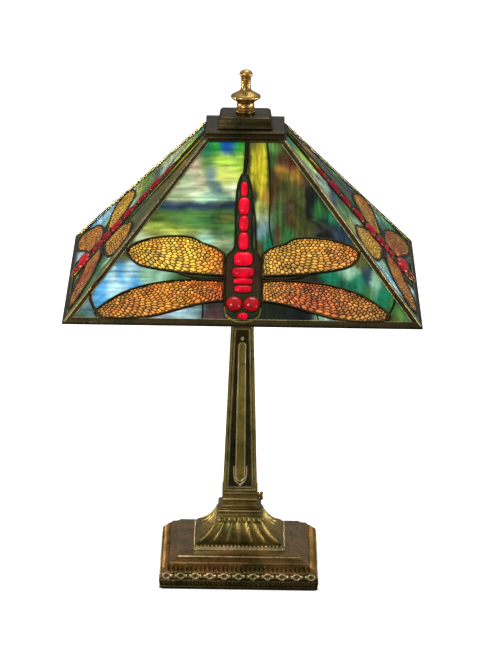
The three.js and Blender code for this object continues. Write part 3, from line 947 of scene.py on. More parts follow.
# %% Finial
FINIAL = [
    (0, 561.3), (5.9, 561.3), (5.9, 551.3), (10.8, 551.3), (11.4, 552.0), (11.4, 553.0),
    (10.5, 553.7), (10.2, 554.0), (11.0, 554.6), (11.3, 555.5), (10.8, 556.5), (9.5, 557.1),
    (9.7, 557.8), (10.5, 558.7), (10.1, 560.2), (9.8, 561.9), (10.2, 563.5), (11.6, 565.0),
    (14.0, 566.4), (16.3, 567.7), (17.2, 569.0), (17.3, 570.3), (16.7, 571.5), (15.0, 572.7),
    (11.2, 574.7), (7.8, 576.5), (6.5, 577.8), (5.9, 579.8), (5.6, 582.6), (5.4, 585.4),
    (5.5, 586.5), (6.1, 587.3), (6.0, 588.2), (5.2, 588.8), (5.6, 589.4), (6.2, 590.2),
    (6.0, 591.0), (5.1, 591.7), (5.8, 592.5), (7.2, 594.2), (7.8, 596.2), (7.2, 598.3),
    (5.3, 600.1), (2.7, 601.2), (0, 601.5),
]
finial = turned("finial_turning", FINIAL, 56)
dress(finial, "finial", [BRASS], ["finial"])
print("finial:", len(finial.data.polygons), "faces")


# %% [markdown]
# ## Shade: the flat pattern
#
# Each of the four sides is drawn flat first, like a glazier's cartoon: u runs across the side, v
# runs up its slope from the bottom edge, and w stands out from the outer face. One matrix then
# leans the flat work against the lamp and turns it to its side.

# %% Pattern frame
SHADE_HALF, SHADE_BOTTOM = 203.0, 348.0
SHADE_RUN, SHADE_RISE = 158.0, 180.0
SLANT = math.hypot(SHADE_RUN, SHADE_RISE)
SLOPE = math.atan2(SHADE_RISE, SHADE_RUN)
GLASS_THICK = 3.0
SIDES = ("front", "right", "back", "left")


def half_at(v):
    return SHADE_HALF - v * SHADE_RUN / SLANT


def on_side(i):
    lean = Matrix.Rotation(SLOPE, 4, "X")
    edge = Matrix.Translation((0, -SHADE_HALF * MM, SHADE_BOTTOM * MM))
    return quarter_turn(i) @ edge @ lean


def smooth_line(points, samples):
    return [tuple(along(points, k / samples)[0]) for k in range(samples + 1)]


def mirrored(outline):
    return [(-u, v) for u, v in reversed(outline)]


def add_pattern_map(obj):
    """Stores each corner's u and v, in metres, so that a pattern follows the side."""
    layer = obj.data.uv_layers.new(name="panel")
    for loop in obj.data.loops:
        spot = obj.data.vertices[loop.vertex_index].co
        layer.data[loop.index].uv = (spot.x, spot.y)


print("slant length:", round(SLANT, 1), "mm")

# %% [markdown]
# The dragonfly is drawn with a few points for each wing and for one edge of the body. A smooth
# curve runs through them, and the other half is a mirror image.

# %% Dragonfly outlines
UPPER_WING = [
    (21.8, 92), (32, 100), (46, 105), (60, 112.5), (82, 113.5), (104, 110.5), (119, 105.5),
    (128, 99.5), (131, 92), (126, 83), (116, 76), (94, 71), (60, 66.5), (21.8, 64.5),
]
LOWER_WING = [
    (21.8, 57.5), (45, 58.8), (72, 57.5), (98, 53.5), (124, 46), (144, 35.5), (159, 24),
    (166, 15.5), (162, 10), (148, 8.6), (124, 8.8), (102, 12), (80, 18.5), (60, 25), (40, 30),
    (21.8, 32.5),
]
BODY_EDGE = [
    (0, 8.6), (10, 10), (18, 16), (20.4, 27), (20.4, 56), (20.4, 80), (17.5, 91), (11.5, 98),
    (9.6, 108), (9.4, 150), (8, 176), (4, 192), (0, 197),
]
upper_wing = smooth_line(UPPER_WING, 78)
lower_wing = smooth_line(LOWER_WING, 84)
body_edge = smooth_line(BODY_EDGE, 48)
body_outline = body_edge + mirrored(body_edge)[1:-1]
WINGS = {
    "wing_upper_right": upper_wing,
    "wing_upper_left": mirrored(upper_wing),
    "wing_lower_right": lower_wing,
    "wing_lower_left": mirrored(lower_wing),
}


def inside(outline, u, v):
    hit = False
    for (u1, v1), (u2, v2) in zip(outline, outline[1:] + outline[:1]):
        if (v1 > v) != (v2 > v) and u < (u2 - u1) * (v - v1) / (v2 - v1) + u1:
            hit = not hit
    return hit


def deep_inside(outline, u, v, margin):
    ring = ((margin, 0), (-margin, 0), (0, margin), (0, -margin))
    return all(inside(outline, u + du, v + dv) for du, dv in ring)


print("outline points:", sum(len(o) for o in WINGS.values()) + len(body_outline))

# %% [markdown]
# ### Background glass
#
# Behind the dragonfly lies a landscape in sheet glass: sky and leaves at the top, a dark horizon,
# a sunlit meadow, trunks on the right and water below. A glazier picks sheets by name, so the
# palette is a list of named glasses, and the cartoon says where each one lies and how far it
# reaches. At every point the nearest sheets are blended, and a slow noise moves the borders.

# %% Palette
GLASSES = {
    "azure": "08489a", "teal": "0c6a4c", "leaf": "249028", "lime": "9cc444", "lemon": "ccd868",
    "sage": "8a9a74", "pale sage": "bcc8a4", "blush": "b8a488", "mist": "5c7c80",
    "navy": "22384c", "moss": "36582a", "meadow": "748c34", "grass": "4e7a38", "straw": "a4ac50",
    "aqua": "8cb89c", "sky": "4c98cc", "cloud": "a8d0dc", "lilac": "8090a0", "umber": "2c1c16",
    "ochre": "bcb024", "amber": "946c24", "bark": "44301a", "rust": "5a2418", "olive": "484c1e",
    "forest": "285c2c", "pine": "161f12", "ink": "0a0f10", "wine": "3c1c20",
}
PALETTE = {name: Vector(linear(chip)) for name, chip in GLASSES.items()}
print("glasses in the palette:", len(PALETTE))

# %% Cartoon
# Each sheet: glass, u, v, then how far it reaches along u and along v.
LEFT_HALF = [
    ("azure", -20, 231, 7, 8), ("teal", -44, 226, 7, 9), ("leaf", -33, 229, 6, 6),
    ("teal", -13, 222, 4, 5), ("leaf", -7, 232, 6, 8), ("grass", -46, 208, 6, 8),
    ("lime", -26, 211, 11, 8), ("lime", -9, 208, 7, 12), ("lemon", -19, 194, 11, 10),
    ("mist", -38, 192, 5, 12), ("mist", -32, 176, 5, 6), ("pale sage", -13, 176, 8, 7),
    ("blush", -56, 204, 8, 10), ("sage", -62, 190, 12, 9), ("pale sage", -56, 176, 12, 8),
    ("blush", -50, 184, 6, 5), ("sage", -84, 174, 12, 9), ("sage", -78, 165, 20, 5),
    ("aqua", -34, 165, 16, 5), ("navy", -24, 154, 24, 4.5), ("navy", -74, 153, 34, 4.5),
    ("moss", -30, 146, 22, 3.5), ("moss", -96, 145, 20, 3.5), ("grass", -60, 142, 18, 4),
    ("meadow", -104, 134, 14, 6), ("grass", -70, 134, 14, 6), ("forest", -46, 137, 12, 5),
    ("olive", -21, 138, 9, 5), ("grass", -18, 129, 12, 5), ("straw", -110, 124, 12, 5),
    ("meadow", -84, 126, 16, 5), ("grass", -44, 128, 14, 4), ("straw", -76, 118, 24, 4),
    ("pale sage", -124, 114, 12, 6), ("aqua", -46, 112, 9, 7), ("forest", -24, 117, 10, 6),
    ("sage", -22, 104, 8, 8), ("olive", -134, 92, 8, 12), ("cloud", -128, 69, 6, 8),
    ("sky", -139, 68, 5, 9), ("cloud", -148, 60, 5, 9), ("sky", -159, 44, 6, 12),
    ("cloud", -147, 45, 6, 8), ("sky", -122, 60, 4, 8), ("aqua", -102, 63, 14, 5),
    ("moss", -62, 61, 20, 4), ("pine", -32, 61, 14, 4), ("mist", -180, 26, 7, 14),
    ("moss", -188, 8, 12, 7), ("mist", -168, 8, 7, 8), ("olive", -142, 3, 18, 4),
    ("lilac", -92, 9, 16, 6), ("cloud", -66, 14, 10, 5), ("mist", -52, 20, 8, 8),
    ("wine", -36, 14, 10, 8), ("umber", -30, 26, 10, 7), ("pine", -26, 44, 6, 14),
    ("moss", -22, 96, 5, 8),
]
RIGHT_HALF = [
    ("olive", 8, 234, 6, 8), ("pine", 4, 216, 3.5, 14), ("ochre", 14, 214, 6, 14),
    ("ochre", 20, 188, 6, 14), ("amber", 24, 168, 4.5, 9), ("straw", 19, 152, 6, 9),
    ("pale sage", 18, 140, 6, 6), ("mist", 22, 126, 6, 9), ("teal", 28, 112, 5, 10),
    ("pine", 12, 150, 3, 28), ("olive", 15, 102, 5, 8), ("grass", 33, 232, 5, 7),
    ("moss", 31, 214, 4, 8), ("pine", 29, 190, 3, 26), ("olive", 42, 232, 5, 8),
    ("bark", 50, 228, 5, 8), ("bark", 43, 214, 6, 7), ("rust", 56, 212, 7, 7),
    ("amber", 42, 198, 5, 8), ("bark", 36, 176, 5, 18), ("olive", 46, 176, 5, 14),
    ("amber", 60, 192, 4, 9), ("bark", 68, 196, 4, 12), ("olive", 60, 174, 5, 10),
    ("bark", 52, 150, 6, 14), ("moss", 40, 146, 5, 16), ("olive", 62, 146, 5, 14),
    ("forest", 49, 118, 6, 6), ("bark", 38, 120, 4, 9), ("olive", 70, 124, 8, 8),
    ("pine", 78, 186, 5, 14), ("ink", 74, 160, 5, 16), ("forest", 88, 150, 7, 8),
    ("pine", 96, 164, 6, 9), ("teal", 104, 140, 7, 7), ("ink", 92, 124, 12, 10),
    ("navy", 116, 122, 9, 8), ("olive", 134, 92, 8, 12), ("teal", 104, 66, 9, 5),
    ("aqua", 120, 70, 8, 5), ("teal", 130, 62, 6, 7), ("navy", 141, 66, 4, 9),
    ("aqua", 150, 58, 4, 10), ("teal", 157, 46, 5, 10), ("forest", 146, 48, 5, 6),
    ("pine", 56, 62, 26, 4), ("forest", 174, 34, 6, 12), ("grass", 180, 20, 5, 9),
    ("moss", 190, 8, 9, 8), ("olive", 172, 8, 8, 6), ("pine", 38, 14, 14, 9),
    ("ink", 62, 13, 12, 8), ("aqua", 90, 9, 7, 6), ("mist", 106, 6, 8, 5),
    ("ochre", 128, 4, 12, 4), ("olive", 152, 4, 14, 4), ("pine", 28, 44, 6, 14),
]
SHEETS = [(PALETTE[g], u, v, ru, rv) for g, u, v, ru, rv in LEFT_HALF + RIGHT_HALF]
SIDE_CAST = {
    "front": ("sage", 0.0), "right": ("navy", 0.42), "back": ("teal", 0.15),
    "left": ("olive", 0.42),
}
print("sheets of glass on a side:", len(SHEETS))


# %% Painting the tint
def sheet_tint(u, v, side):
    seed = SIDES.index(side) * 7.0
    drift = Vector((u * 0.05, v * 0.05, seed))
    su = u + 3.0 * noise.noise(drift) + 1.2 * noise.noise(drift * 4)
    sv = v + 2.2 * noise.noise(drift + Vector((5, 3, 1))) + 1.0 * noise.noise(drift * 5)
    total, color = 0.0, Vector((0, 0, 0))
    for tint, at_u, at_v, reach_u, reach_v in SHEETS:
        away = ((su - at_u) / reach_u) ** 2 + ((sv - at_v) / reach_v) ** 2
        if away < 60:
            weight = math.exp(-(away**0.9) * 1.15) + 2e-6 / (1 + away)
            total += weight
            color += tint * weight
    color /= max(total, 1e-9)
    streak = (u * 0.3, v * 0.03) if u > 0 else (u * 0.025, v * 0.3)
    grain = noise.noise(Vector((*streak, seed + 2))) + 0.5 * noise.noise(
        Vector((streak[0] * 3, streak[1] * 3, seed + 3))
    )
    color = color * max(0.35, 1 + 0.75 * grain)
    glass_name, share = SIDE_CAST[side]
    return color.lerp(PALETTE[glass_name], share * (0.6 + 0.4 * min(1, v / 160)))


def paint(obj, color_at):
    layer = obj.data.color_attributes.new(name="tint", type="FLOAT_COLOR", domain="POINT")
    for vertex in obj.data.vertices:
        layer.data[vertex.index].color = (*color_at(vertex.co.x / MM, vertex.co.y / MM), 1)


SHEET_EDGE = 2.8
SHEET_LOW, SHEET_HIGH = 5.0, SLANT - 0.6


def field_glass(side):
    """A grid stretched to the side's shape, with room left for the dragonfly, given thickness."""
    deselect_all()
    bpy.ops.mesh.primitive_grid_add(x_subdivisions=150, y_subdivisions=100, size=2)
    obj = named(f"field_glass_{side}")
    for vertex in obj.data.vertices:
        v = SHEET_LOW + (vertex.co.y + 1) / 2 * (SHEET_HIGH - SHEET_LOW)
        u = vertex.co.x * (half_at(v) - SHEET_EDGE)
        vertex.co = (u * MM, v * MM, 0)
    taken = list(WINGS.values()) + [body_outline]
    edit(obj)
    bpy.ops.mesh.select_all(action="DESELECT")
    bpy.ops.object.mode_set(mode="OBJECT")
    for face in obj.data.polygons:
        u, v = face.center.x / MM, face.center.y / MM
        face.select = any(deep_inside(outline, u, v, 4.2) for outline in taken)
    bpy.ops.object.mode_set(mode="EDIT")
    bpy.ops.mesh.delete(type="FACE")
    bpy.ops.object.mode_set(mode="OBJECT")
    paint(obj, lambda u, v: sheet_tint(u, v, side))
    thicken(obj, GLASS_THICK)
    add_pattern_map(obj)
    return obj


for i, side in enumerate(SIDES):
    field = field_glass(side)
    field.data.transform(on_side(i))
    dress(field, "shade", [SHEET], [f"glass_field_{side}"])
    print(field.name, len(field.data.polygons), "faces")

# %% [markdown]
# ### Wings
#
# A wing is amber glass under a net of fine bronze. The net's cells follow the wing: small and
# round along its front edge, long and narrow behind. Points are set out in rows between the two
# edges of the wing and joined into triangles; the triangles carry the glass, and the cells round
# the points, drawn from triangle to triangle, carry the net.


# %% Points in a wing
def edges_at(outline, u):
    """The lowest and highest v of a wing at one u."""
    levels = []
    for (u1, v1), (u2, v2) in zip(outline, outline[1:] + outline[:1]):
        if (u1 > u) != (u2 > u):
            levels.append(v1 + (v2 - v1) * (u - u1) / (u2 - u1))
    return (min(levels), max(levels)) if len(levels) > 1 else None


def wing_points(outline, seed):
    chance = random.Random(seed)
    low_u, high_u = min(p[0] for p in outline), max(p[0] for p in outline)
    found = []
    rows = 13
    for row in range(rows):
        share = (row + 0.5) / rows
        step = 3.6 + 5.4 * (1 - share)
        u = low_u + 2.2 + (row % 2) * step / 2
        while u < high_u - 1.5:
            spot = u + chance.uniform(-0.5, 0.5)
            ends = edges_at(outline, spot)
            u += step
            if not ends or ends[1] - ends[0] < 5:
                continue
            v = ends[0] + (ends[1] - ends[0]) * share + chance.uniform(-0.35, 0.35)
            near = any(math.hypot((spot - a) * 0.8, (v - b) * 1.3) < 2.5 for a, b in found)
            if not near and deep_inside(outline, spot, v, 1.3):
                found.append((spot, v))
    return found


def triangulated(outline, points):
    verts = [Vector(p) for p in outline + points]
    loop = list(range(len(outline)))
    made = geometry.delaunay_2d_cdt(verts, [], [loop], 1, 1e-4)
    return [tuple(p) for p in made[0]], [tuple(f) for f in made[2]]


def cells_round(verts, triangles, rim):
    """The cell round each inner point, with its corners at the middles of the triangles."""
    middles = [tuple(sum(verts[k][a] for k in f) / 3 for a in (0, 1)) for f in triangles]
    around = {}
    for index, corners in enumerate(triangles):
        for k in corners:
            around.setdefault(k, []).append(index)
    cells = []
    for k in range(rim, len(verts)):
        here = around.get(k, [])
        if len(here) > 2:
            u, v = verts[k]
            angle = {t: math.atan2(middles[t][1] - v, middles[t][0] - u) for t in here}
            cells.append(sorted(here, key=angle.get))
    return middles, cells


wing_meshes = {}
for seed, (wing, outline) in enumerate(WINGS.items()):
    verts, triangles = triangulated(outline, wing_points(outline, seed + 3))
    middles, cells = cells_round(verts, triangles, len(outline))
    wing_meshes[wing] = (verts, triangles, middles, cells)
    print(wing, len(triangles), "triangles,", len(cells), "cells")

# %% [markdown]
# The glass is gold near the front edge, orange at the root and brown at the tip, and each little
# cell is a shade lighter or darker than the next.

# %% Wing glass
WING_TINTS = {
    "wing_upper_left": ("d8701c", "f4c440", "d89c30"),
    "wing_lower_left": ("c8541c", "d88c28", "b87c2c"),
    "wing_upper_right": ("dca440", "d09434", "c86430"),
    "wing_lower_right": ("c88c38", "c05c28", "a06c2c"),
}
WING_TINTS = {
    wing: [Vector(linear(chip)) for chip in chips] for wing, chips in WING_TINTS.items()
}
# Painted shade: the pane under the drops is darkened towards this brown, so the gaps between drops
# look shaded.
PANE_PAINTED_SHADE = Vector(linear("6c3410"))


def wing_tint(wing, u, v):
    """Root, middle and tip colours along the wing, with warm and pale patches."""
    root, middle, tip = WING_TINTS[wing]
    far = min(1, max(0, (abs(u) - 22) / 120))
    color = root.lerp(middle, min(1, far * 3)) if far < 0.5 else middle.lerp(tip, far * 2 - 1)
    patch = noise.noise(Vector((u * 0.045, v * 0.12, 4.0)))
    return color.lerp(root, max(0.0, patch)) * (1 + 0.3 * patch)


def wing_glass(wing, verts, triangles):
    obj = mesh_object("pane", [(u * MM, v * MM, 0.4 * MM) for u, v in verts], faces=triangles)
    # The pane's tint is darkened towards brown: painted shade between the drops.
    paint(obj, lambda u, v: wing_tint(wing, u, v).lerp(PANE_PAINTED_SHADE, 0.45))
    thicken(obj, GLASS_THICK + 0.9)
    add_pattern_map(obj)
    return obj


# %% [markdown]
# Between the wires the glass stands up in small drops. Each drop is its cell drawn in a little,
# pulled up to a crown in two rings, and closed below. Its tint is painted lighter at the crown
# and darker at the rim: a painted highlight and painted shade.

# %% Glass drops
def wing_drops(wing, middles, cells):
    points, faces, colors = [], [], []
    chance = random.Random(len(cells))
    for cell in cells:
        corners = [middles[k] for k in cell]
        count = len(corners)
        cu, cv = (sum(c[a] for c in corners) / count for a in (0, 1))
        bright = chance.uniform(0.55, 1.5)
        base = wing_tint(wing, cu, cv)
        start = len(points)
        for grow, lift, painted_light in ((0.9, 0.3, 0.55), (0.62, 1.05, 1.0)):
            for u, v in corners:
                spot = Vector((cu + (u - cu) * grow, cv + (v - cv) * grow, lift))
                points.append(spot * MM)
                colors.append(base * bright * painted_light)
        # The crown takes the brightest tint, a painted highlight.
        points.append((cu * MM, cv * MM, 1.3 * MM))
        colors.append(base * bright * 1.35)
        for k in range(count):
            after = (k + 1) % count
            low, high = start, start + count
            faces.append((low + k, low + after, high + after, high + k))
            faces.append((high + k, high + after, start + 2 * count))
        faces.append(tuple(start + k for k in reversed(range(count))))
    obj = mesh_object("drops", points, faces=faces)
    layer = obj.data.color_attributes.new(name="tint", type="FLOAT_COLOR", domain="POINT")
    for k, color in enumerate(colors):
        layer.data[k].color = (*color, 1)
    for face in obj.data.polygons:
        face.use_smooth = len(face.vertices) < 5
    add_pattern_map(obj)
    return obj


def wing_net(middles, cells):
    obj = mesh_object("net", [(u * MM, v * MM, 0.6 * MM) for u, v in middles], faces=cells)
    edit(obj)
    bpy.ops.mesh.delete_loose()
    bpy.ops.object.mode_set(mode="OBJECT")
    pick(obj)
    wire = obj.modifiers.new("wire", "WIREFRAME")
    wire.thickness, wire.use_even_offset, wire.use_boundary = 0.8 * MM, False, True
    bpy.ops.object.modifier_apply(modifier="wire")
    return obj


# Painted shade: the tints on the left and right sides are darkened, as each stands in the beam of an
# edge light.
SIDE_PAINTED_SHADE = {"front": 1.0, "right": 0.5, "back": 1.0, "left": 0.56}


def set_on_side(seed, i, name, material, replaces=()):
    """A copy of a flat piece, leaned against one side of the shade, its tint darkened by painted
    shade on the left and right, and dressed.
    """
    piece = bpy.data.objects.new(name, seed.data.copy())
    piece.data.name = name
    bpy.context.scene.collection.objects.link(piece)
    piece.data.transform(on_side(i))
    piece.data.materials.clear()
    layer = piece.data.color_attributes.get("tint")
    side_shade_factor = SIDE_PAINTED_SHADE[SIDES[i]]
    if layer and side_shade_factor < 1:
        for spot in layer.data:
            spot.color = (*(c * side_shade_factor for c in spot.color[:3]), 1)
    return dress(piece, "shade", [material], replaces)


panes, drops, nets = {}, [], []
for wing, (verts, triangles, middles, cells) in wing_meshes.items():
    panes[wing] = wing_glass(wing, verts, triangles)
    drops.append(wing_drops(wing, middles, cells))
    nets.append(wing_net(middles, cells))
drops, nets = joined("drops", drops), joined("nets", nets)
for i, side in enumerate(SIDES):
    for wing, pane in panes.items():
        set_on_side(pane, i, f"glass_{wing}_{side}", AMBER, [f"{wing}_{side}"])
    set_on_side(drops, i, f"wing_drops_{side}", AMBER)
    set_on_side(nets, i, f"wing_net_{side}", NET)
print("faces on a side: drops", len(drops.data.polygons), "net", len(nets.data.polygons))
clear_away(*panes.values(), drops, nets)

# %% [markdown]
# ### Body and jewels
#
# The body is a dark strip of glass with cast jewels on it: four beads down the tail, four plates
# on the back, two round eyes and a small head. Each jewel is half a sphere, cut flat, squared a
# little where the real one is squarer, and held in a thin bronze bezel.


# %% Body strip
def body_strip():
    verts, triangles = triangulated(body_outline, [(0.0, 14.0 + 6 * k) for k in range(30)])
    obj = mesh_object("strip", [(u * MM, v * MM, 0.5 * MM) for u, v in verts], faces=triangles)
    dark, green, warm = PALETTE["ink"], PALETTE["moss"] * 0.4, PALETTE["rust"] * 0.45

    def strip_color(u, v):
        shade = 0.5 + 0.5 * noise.noise(Vector((u * 0.1, v * 0.05, 2)))
        near_thorax = math.exp(-(((v - 66) / 26) ** 2))
        return green.lerp(dark, shade).lerp(warm, 0.7 * near_thorax)

    paint(obj, strip_color)
    thicken(obj, GLASS_THICK + 1.0)
    add_pattern_map(obj)
    return obj


def squared(x, y, square):
    """How far out a rounded square reaches in a direction, against a circle."""
    power = 2 + 2 * square
    return (abs(x) ** power + abs(y) ** power) ** (-1 / power)


def jewel(spot, width, height, swell, square):
    deselect_all()
    bpy.ops.mesh.primitive_uv_sphere_add(segments=28, ring_count=14, radius=1)
    obj = named("jewel")
    edit(obj)
    bpy.ops.mesh.bisect(plane_co=(0, 0, 0), plane_no=(0, 0, 1), use_fill=True, clear_inner=True)
    bpy.ops.object.mode_set(mode="OBJECT")
    for vertex in obj.data.vertices:
        x, y, z = vertex.co
        r = math.hypot(x, y)
        if r > 1e-6:
            reach = squared(x / r, y / r, square)
            x, y = x * reach, y * reach
        u, v = spot[0] + x * width / 2, spot[1] + y * height / 2
        vertex.co = (u * MM, v * MM, (0.4 + z * swell) * MM)
    bpy.ops.object.shade_smooth_by_angle(angle=math.radians(45))
    add_pattern_map(obj)
    return obj


def bezel(spot, width, height, square, steps=36):
    ring = []
    for k in range(steps):
        x, y = math.cos(2 * math.pi * k / steps), math.sin(2 * math.pi * k / steps)
        reach = squared(x, y, square)
        u = spot[0] + x * reach * (width / 2 + 0.3)
        v = spot[1] + y * reach * (height / 2 + 0.3)
        ring.append((u, v, 0.7))
    return tube_along("bezel", ring, 0.8, closed=True, sides=2)


# Each jewel: its place, width, height, swell, and how square its outline is.
JEWELS = [
    ((0, 175.4), 8.0, 19.0, 3.4, 0.8), ((0, 153.6), 12.6, 22.8, 4.6, 0.5),
    ((0, 131.4), 10.8, 20.4, 4.2, 0.4), ((0, 108.6), 11.6, 22.4, 4.6, 0.6),
    ((0, 85.6), 21.6, 17.6, 5.4, 0.5), ((0, 68.6), 25.0, 12.6, 5.4, 0.6),
    ((0, 57.2), 22.6, 7.4, 4.2, 0.8), ((0, 47.6), 20.0, 8.6, 4.0, 0.8),
    ((0, 13.4), 11.6, 8.2, 3.6, 0.4),
]
EYES = [((-9.9, 28.5), 19.0, 18.6, 6.4, 0.0), ((9.9, 28.5), 19.0, 18.6, 6.4, 0.0)]
strip = body_strip()
rubies = joined("rubies", [jewel(*j) for j in JEWELS])
eyes = joined("eyes", [jewel(*e) for e in EYES])
rings = [bezel(spot, width, height, square) for spot, width, height, _, square in JEWELS + EYES]
settings = joined("settings", rings)
# The jewels on the left and right sides take the darker ruby as painted shade.
for i, side in enumerate(SIDES):
    for seed, name, body_slot, material in (
        (strip, f"body_strip_{side}", "ruby_glass", SHEET),
        (rubies, f"body_jewels_{side}", "ruby_glass", RUBY if i % 2 == 0 else SIDE_SHADED_RUBY),
        (eyes, f"eyes_{side}", "ruby_glass", GARNET),
        (settings, f"bezels_{side}", "dark_bronze", NET),
    ):
        stands_for = [f"dragonfly_body_{side}"] if seed is strip else ()
        set_on_side(seed, i, name, material, stands_for)
clear_away(strip, rubies, eyes, settings)
print("jewels on a side:", len(JEWELS) + len(EYES))

# %% [markdown]
# ### Lead lines
#
# Lead came holds the glass. On the cartoon each line is a few points, and a smooth round bar runs
# along it. Heavier bars go round the wings and the body.

# %% Lead lines
LEADS = [
    ([(0.5, 197), (1, 208), (1.8, 222), (2.2, 238)], 2.4),
    ([(25, 238), (27.5, 215), (29, 190), (29.5, 160), (29, 130), (33, 104)], 0.9),
    ([(9.5, 160), (12.6, 140), (13.6, 118), (14.5, 97)], 1.1),
    ([(-22, 61.2), (-40, 60.6), (-58, 62.2), (-74, 67.6)], 1.7),
    ([(22, 61.2), (40, 60.6), (58, 62.2), (74, 67.6)], 1.7),
    ([(-159, 62), (-169, 50), (-172.5, 36), (-167, 20), (-155, 7)], 1.7),
    ([(172, 44), (171, 32), (166, 20), (160, 9)], 1.3), ([(-45, 28), (-45, 7)], 1.0),
    ([(84, 17), (86, 7)], 0.8), ([(-131, 96), (-136, 99)], 1.6), ([(131, 96), (136, 99)], 1.6),
]
parts = [
    tube_along("lead", [(*p, 0.6) for p in smooth_line(line, 24)], radius, sides=2)
    for line, radius in LEADS
]
for outline in WINGS.values():
    parts.append(tube_along("lead", [(*p, 0.8) for p in outline], 1.5, closed=True, sides=2))
parts.append(tube_along("lead", [(*p, 0.7) for p in body_outline], 1.2, closed=True, sides=2))
leads = joined("leads", parts)
HEAD_ARC = [(-20.5, 24), (-18, 13), (-9, 6.8), (0, 5.2), (9, 6.8), (18, 13), (20.5, 24)]
arc = smooth_line(HEAD_ARC, 36)
collar_arc = tube_along("arc", [(*p, 1.2) for p in arc], 1.3, sides=2)
for i, side in enumerate(SIDES):
    set_on_side(leads, i, f"lead_lines_{side}", LEAD)
    set_on_side(collar_arc, i, f"head_arc_{side}", ANTIQUE)
print("lead faces on a side:", len(leads.data.polygons))
clear_away(leads, collar_arc)

# %% [markdown]
# ### Frame of the shade
#
# Brass strips lap over the edges of each side and meet on the four hips. A strip is a flat face
# inset by its width, with the middle taken out. Round beads run along its two edges and hide the
# mitre on the hip.

# %% Hip strips
STRIP = 5.6


def hip_strip():
    deselect_all()
    bpy.ops.mesh.primitive_plane_add(size=2)
    obj = named("hip_strip")
    low, high = 2.8, SLANT - 0.4
    for vertex in obj.data.vertices:
        v = low if vertex.co.y < 0 else high
        vertex.co = (math.copysign(half_at(v) + 0.3, vertex.co.x) * MM, v * MM, 0.5 * MM)
    edit(obj)
    bpy.ops.mesh.inset(thickness=STRIP * MM, depth=0)
    bpy.ops.mesh.delete(type="FACE")
    bpy.ops.mesh.select_all(action="SELECT")
    bpy.ops.object.mode_set(mode="OBJECT")
    for vertex in obj.data.vertices:
        if SLANT / 2 * MM < vertex.co.y < (high - 1) * MM:
            vertex.co.y += 2.6 * MM
    thicken(obj, 1.1, offset=1)
    ease_edges(obj, 0.3)
    return obj


def strip_beads():
    low, high = 8.6, SLANT - 5.2
    inner = STRIP / math.cos(math.atan(SHADE_RUN / SLANT)) - 0.4
    foot, head = half_at(low) - inner, half_at(high) - inner
    left, right = [(-foot, low, 1.3), (-head, high, 1.3)], [(foot, low, 1.3), (head, high, 1.3)]
    rails = [tube_along("rail", r, 0.6, sides=2) for r in (left, right, [left[0], right[0]])]
    return joined("rails", rails)


strip_seed, rail_seed = hip_strip(), strip_beads()
shade_strips = copies("shade_strips", strip_seed, [on_side(i) for i in range(4)])
dress(shade_strips, "shade", [DARK, RUBBED_AND_HIGHLIT], ["shade_frame"])
shade_rails = copies("shade_rails", rail_seed, [on_side(i) for i in range(4)])
dress(shade_rails, "shade", [WORN_AND_HIGHLIGHT])
hip = [(-half_at(3) - 0.3, 3, 0.9), (-half_at(SLANT - 1), SLANT - 1, 0.9)]
ridge = tube_along("ridge", hip, 1.5)
shade_ridges = copies("shade_ridges", ridge, [on_side(i) for i in range(4)])
dress(shade_ridges, "shade", [WORN_AND_HIGHLIGHT])
print("strips, rails and ridges done")


# %% [markdown]
# The rim under the glass is a square ring. Spun in four steps instead of forty-eight, a turned
# outline gives exactly that: a moulding with four mitred corners.


# %% Rim
def square_ring(name, profile):
    obj = turned(name, [(half * math.sqrt(2), z) for half, z in profile], steps=4, closed=True)
    obj.data.transform(Matrix.Rotation(math.pi / 4, 4, "Z"))
    return obj


shade_rim = square_ring(
    "shade_rim_channel",
    [
        (196.8, 348.1), (202.5, 348.1), (203.4, 348.9), (203.4, 350.3), (202.6, 351.0),
        (200.6, 350.4), (198.9, 349.5), (196.8, 349.5),
    ],
)
ease_edges(shade_rim, 0.2)
dress(shade_rim, "shade", [LEAD, RUBBED_AND_HIGHLIT], ["shade_rim"])
print("rim done")


# %% [markdown]
# ## Lamp holders
#
# Inside the shade a brass hub carries one bulb to each side. All of it is lathe work, so each
# piece is half an outline spun round its own axis.

# %% Pipe, hub and riser
pipe_sleeve = turned(
    "pipe_sleeve",
    [
        (6.0, 306.7), (7.7, 306.7), (7.8, 308.4), (7.0, 309.4), (6.8, 312.0), (6.8, 367.5),
        (7.0, 369.0), (7.8, 370.0), (7.6, 371.7), (6.0, 371.7),
    ],
    closed=True,
)
dress(pipe_sleeve, "stand", [BRASS], ["pipe_cover"])

LIGHT_HEIGHT = 388
light_hub = turned(
    "light_hub",
    [
        (5.2, 378), (5.2, 372), (8.6, 372), (9.0, 372.8), (9.3, 373.6), (11.6, 374.8),
        (14.2, 376.4), (15.2, 378.0), (15.5, 379.0), (14.7, 380.0), (14.7, 396.0), (15.5, 397.0),
        (15.2, 398.0), (13.6, 399.8), (10.6, 401.6), (9.2, 402.6), (8.8, 404.0), (5.9, 404.0),
        (5.9, 398.0), (0, 398.0), (0, 378),
    ],
)
arms = []
for side in (-1, 1):
    arm = turned(
        "arm", [(0, 10), (5, 10), (5, 15.6), (6.2, 16), (6.2, 17.4), (5, 17.8), (5, 27), (0, 27)],
        24,
    )
    along_x(arm, side, LIGHT_HEIGHT)
    arms.append(arm)
light_hub = joined("light_hub", [light_hub, *arms])
dress(light_hub, "stand", [BRASS], ["cluster_body"])

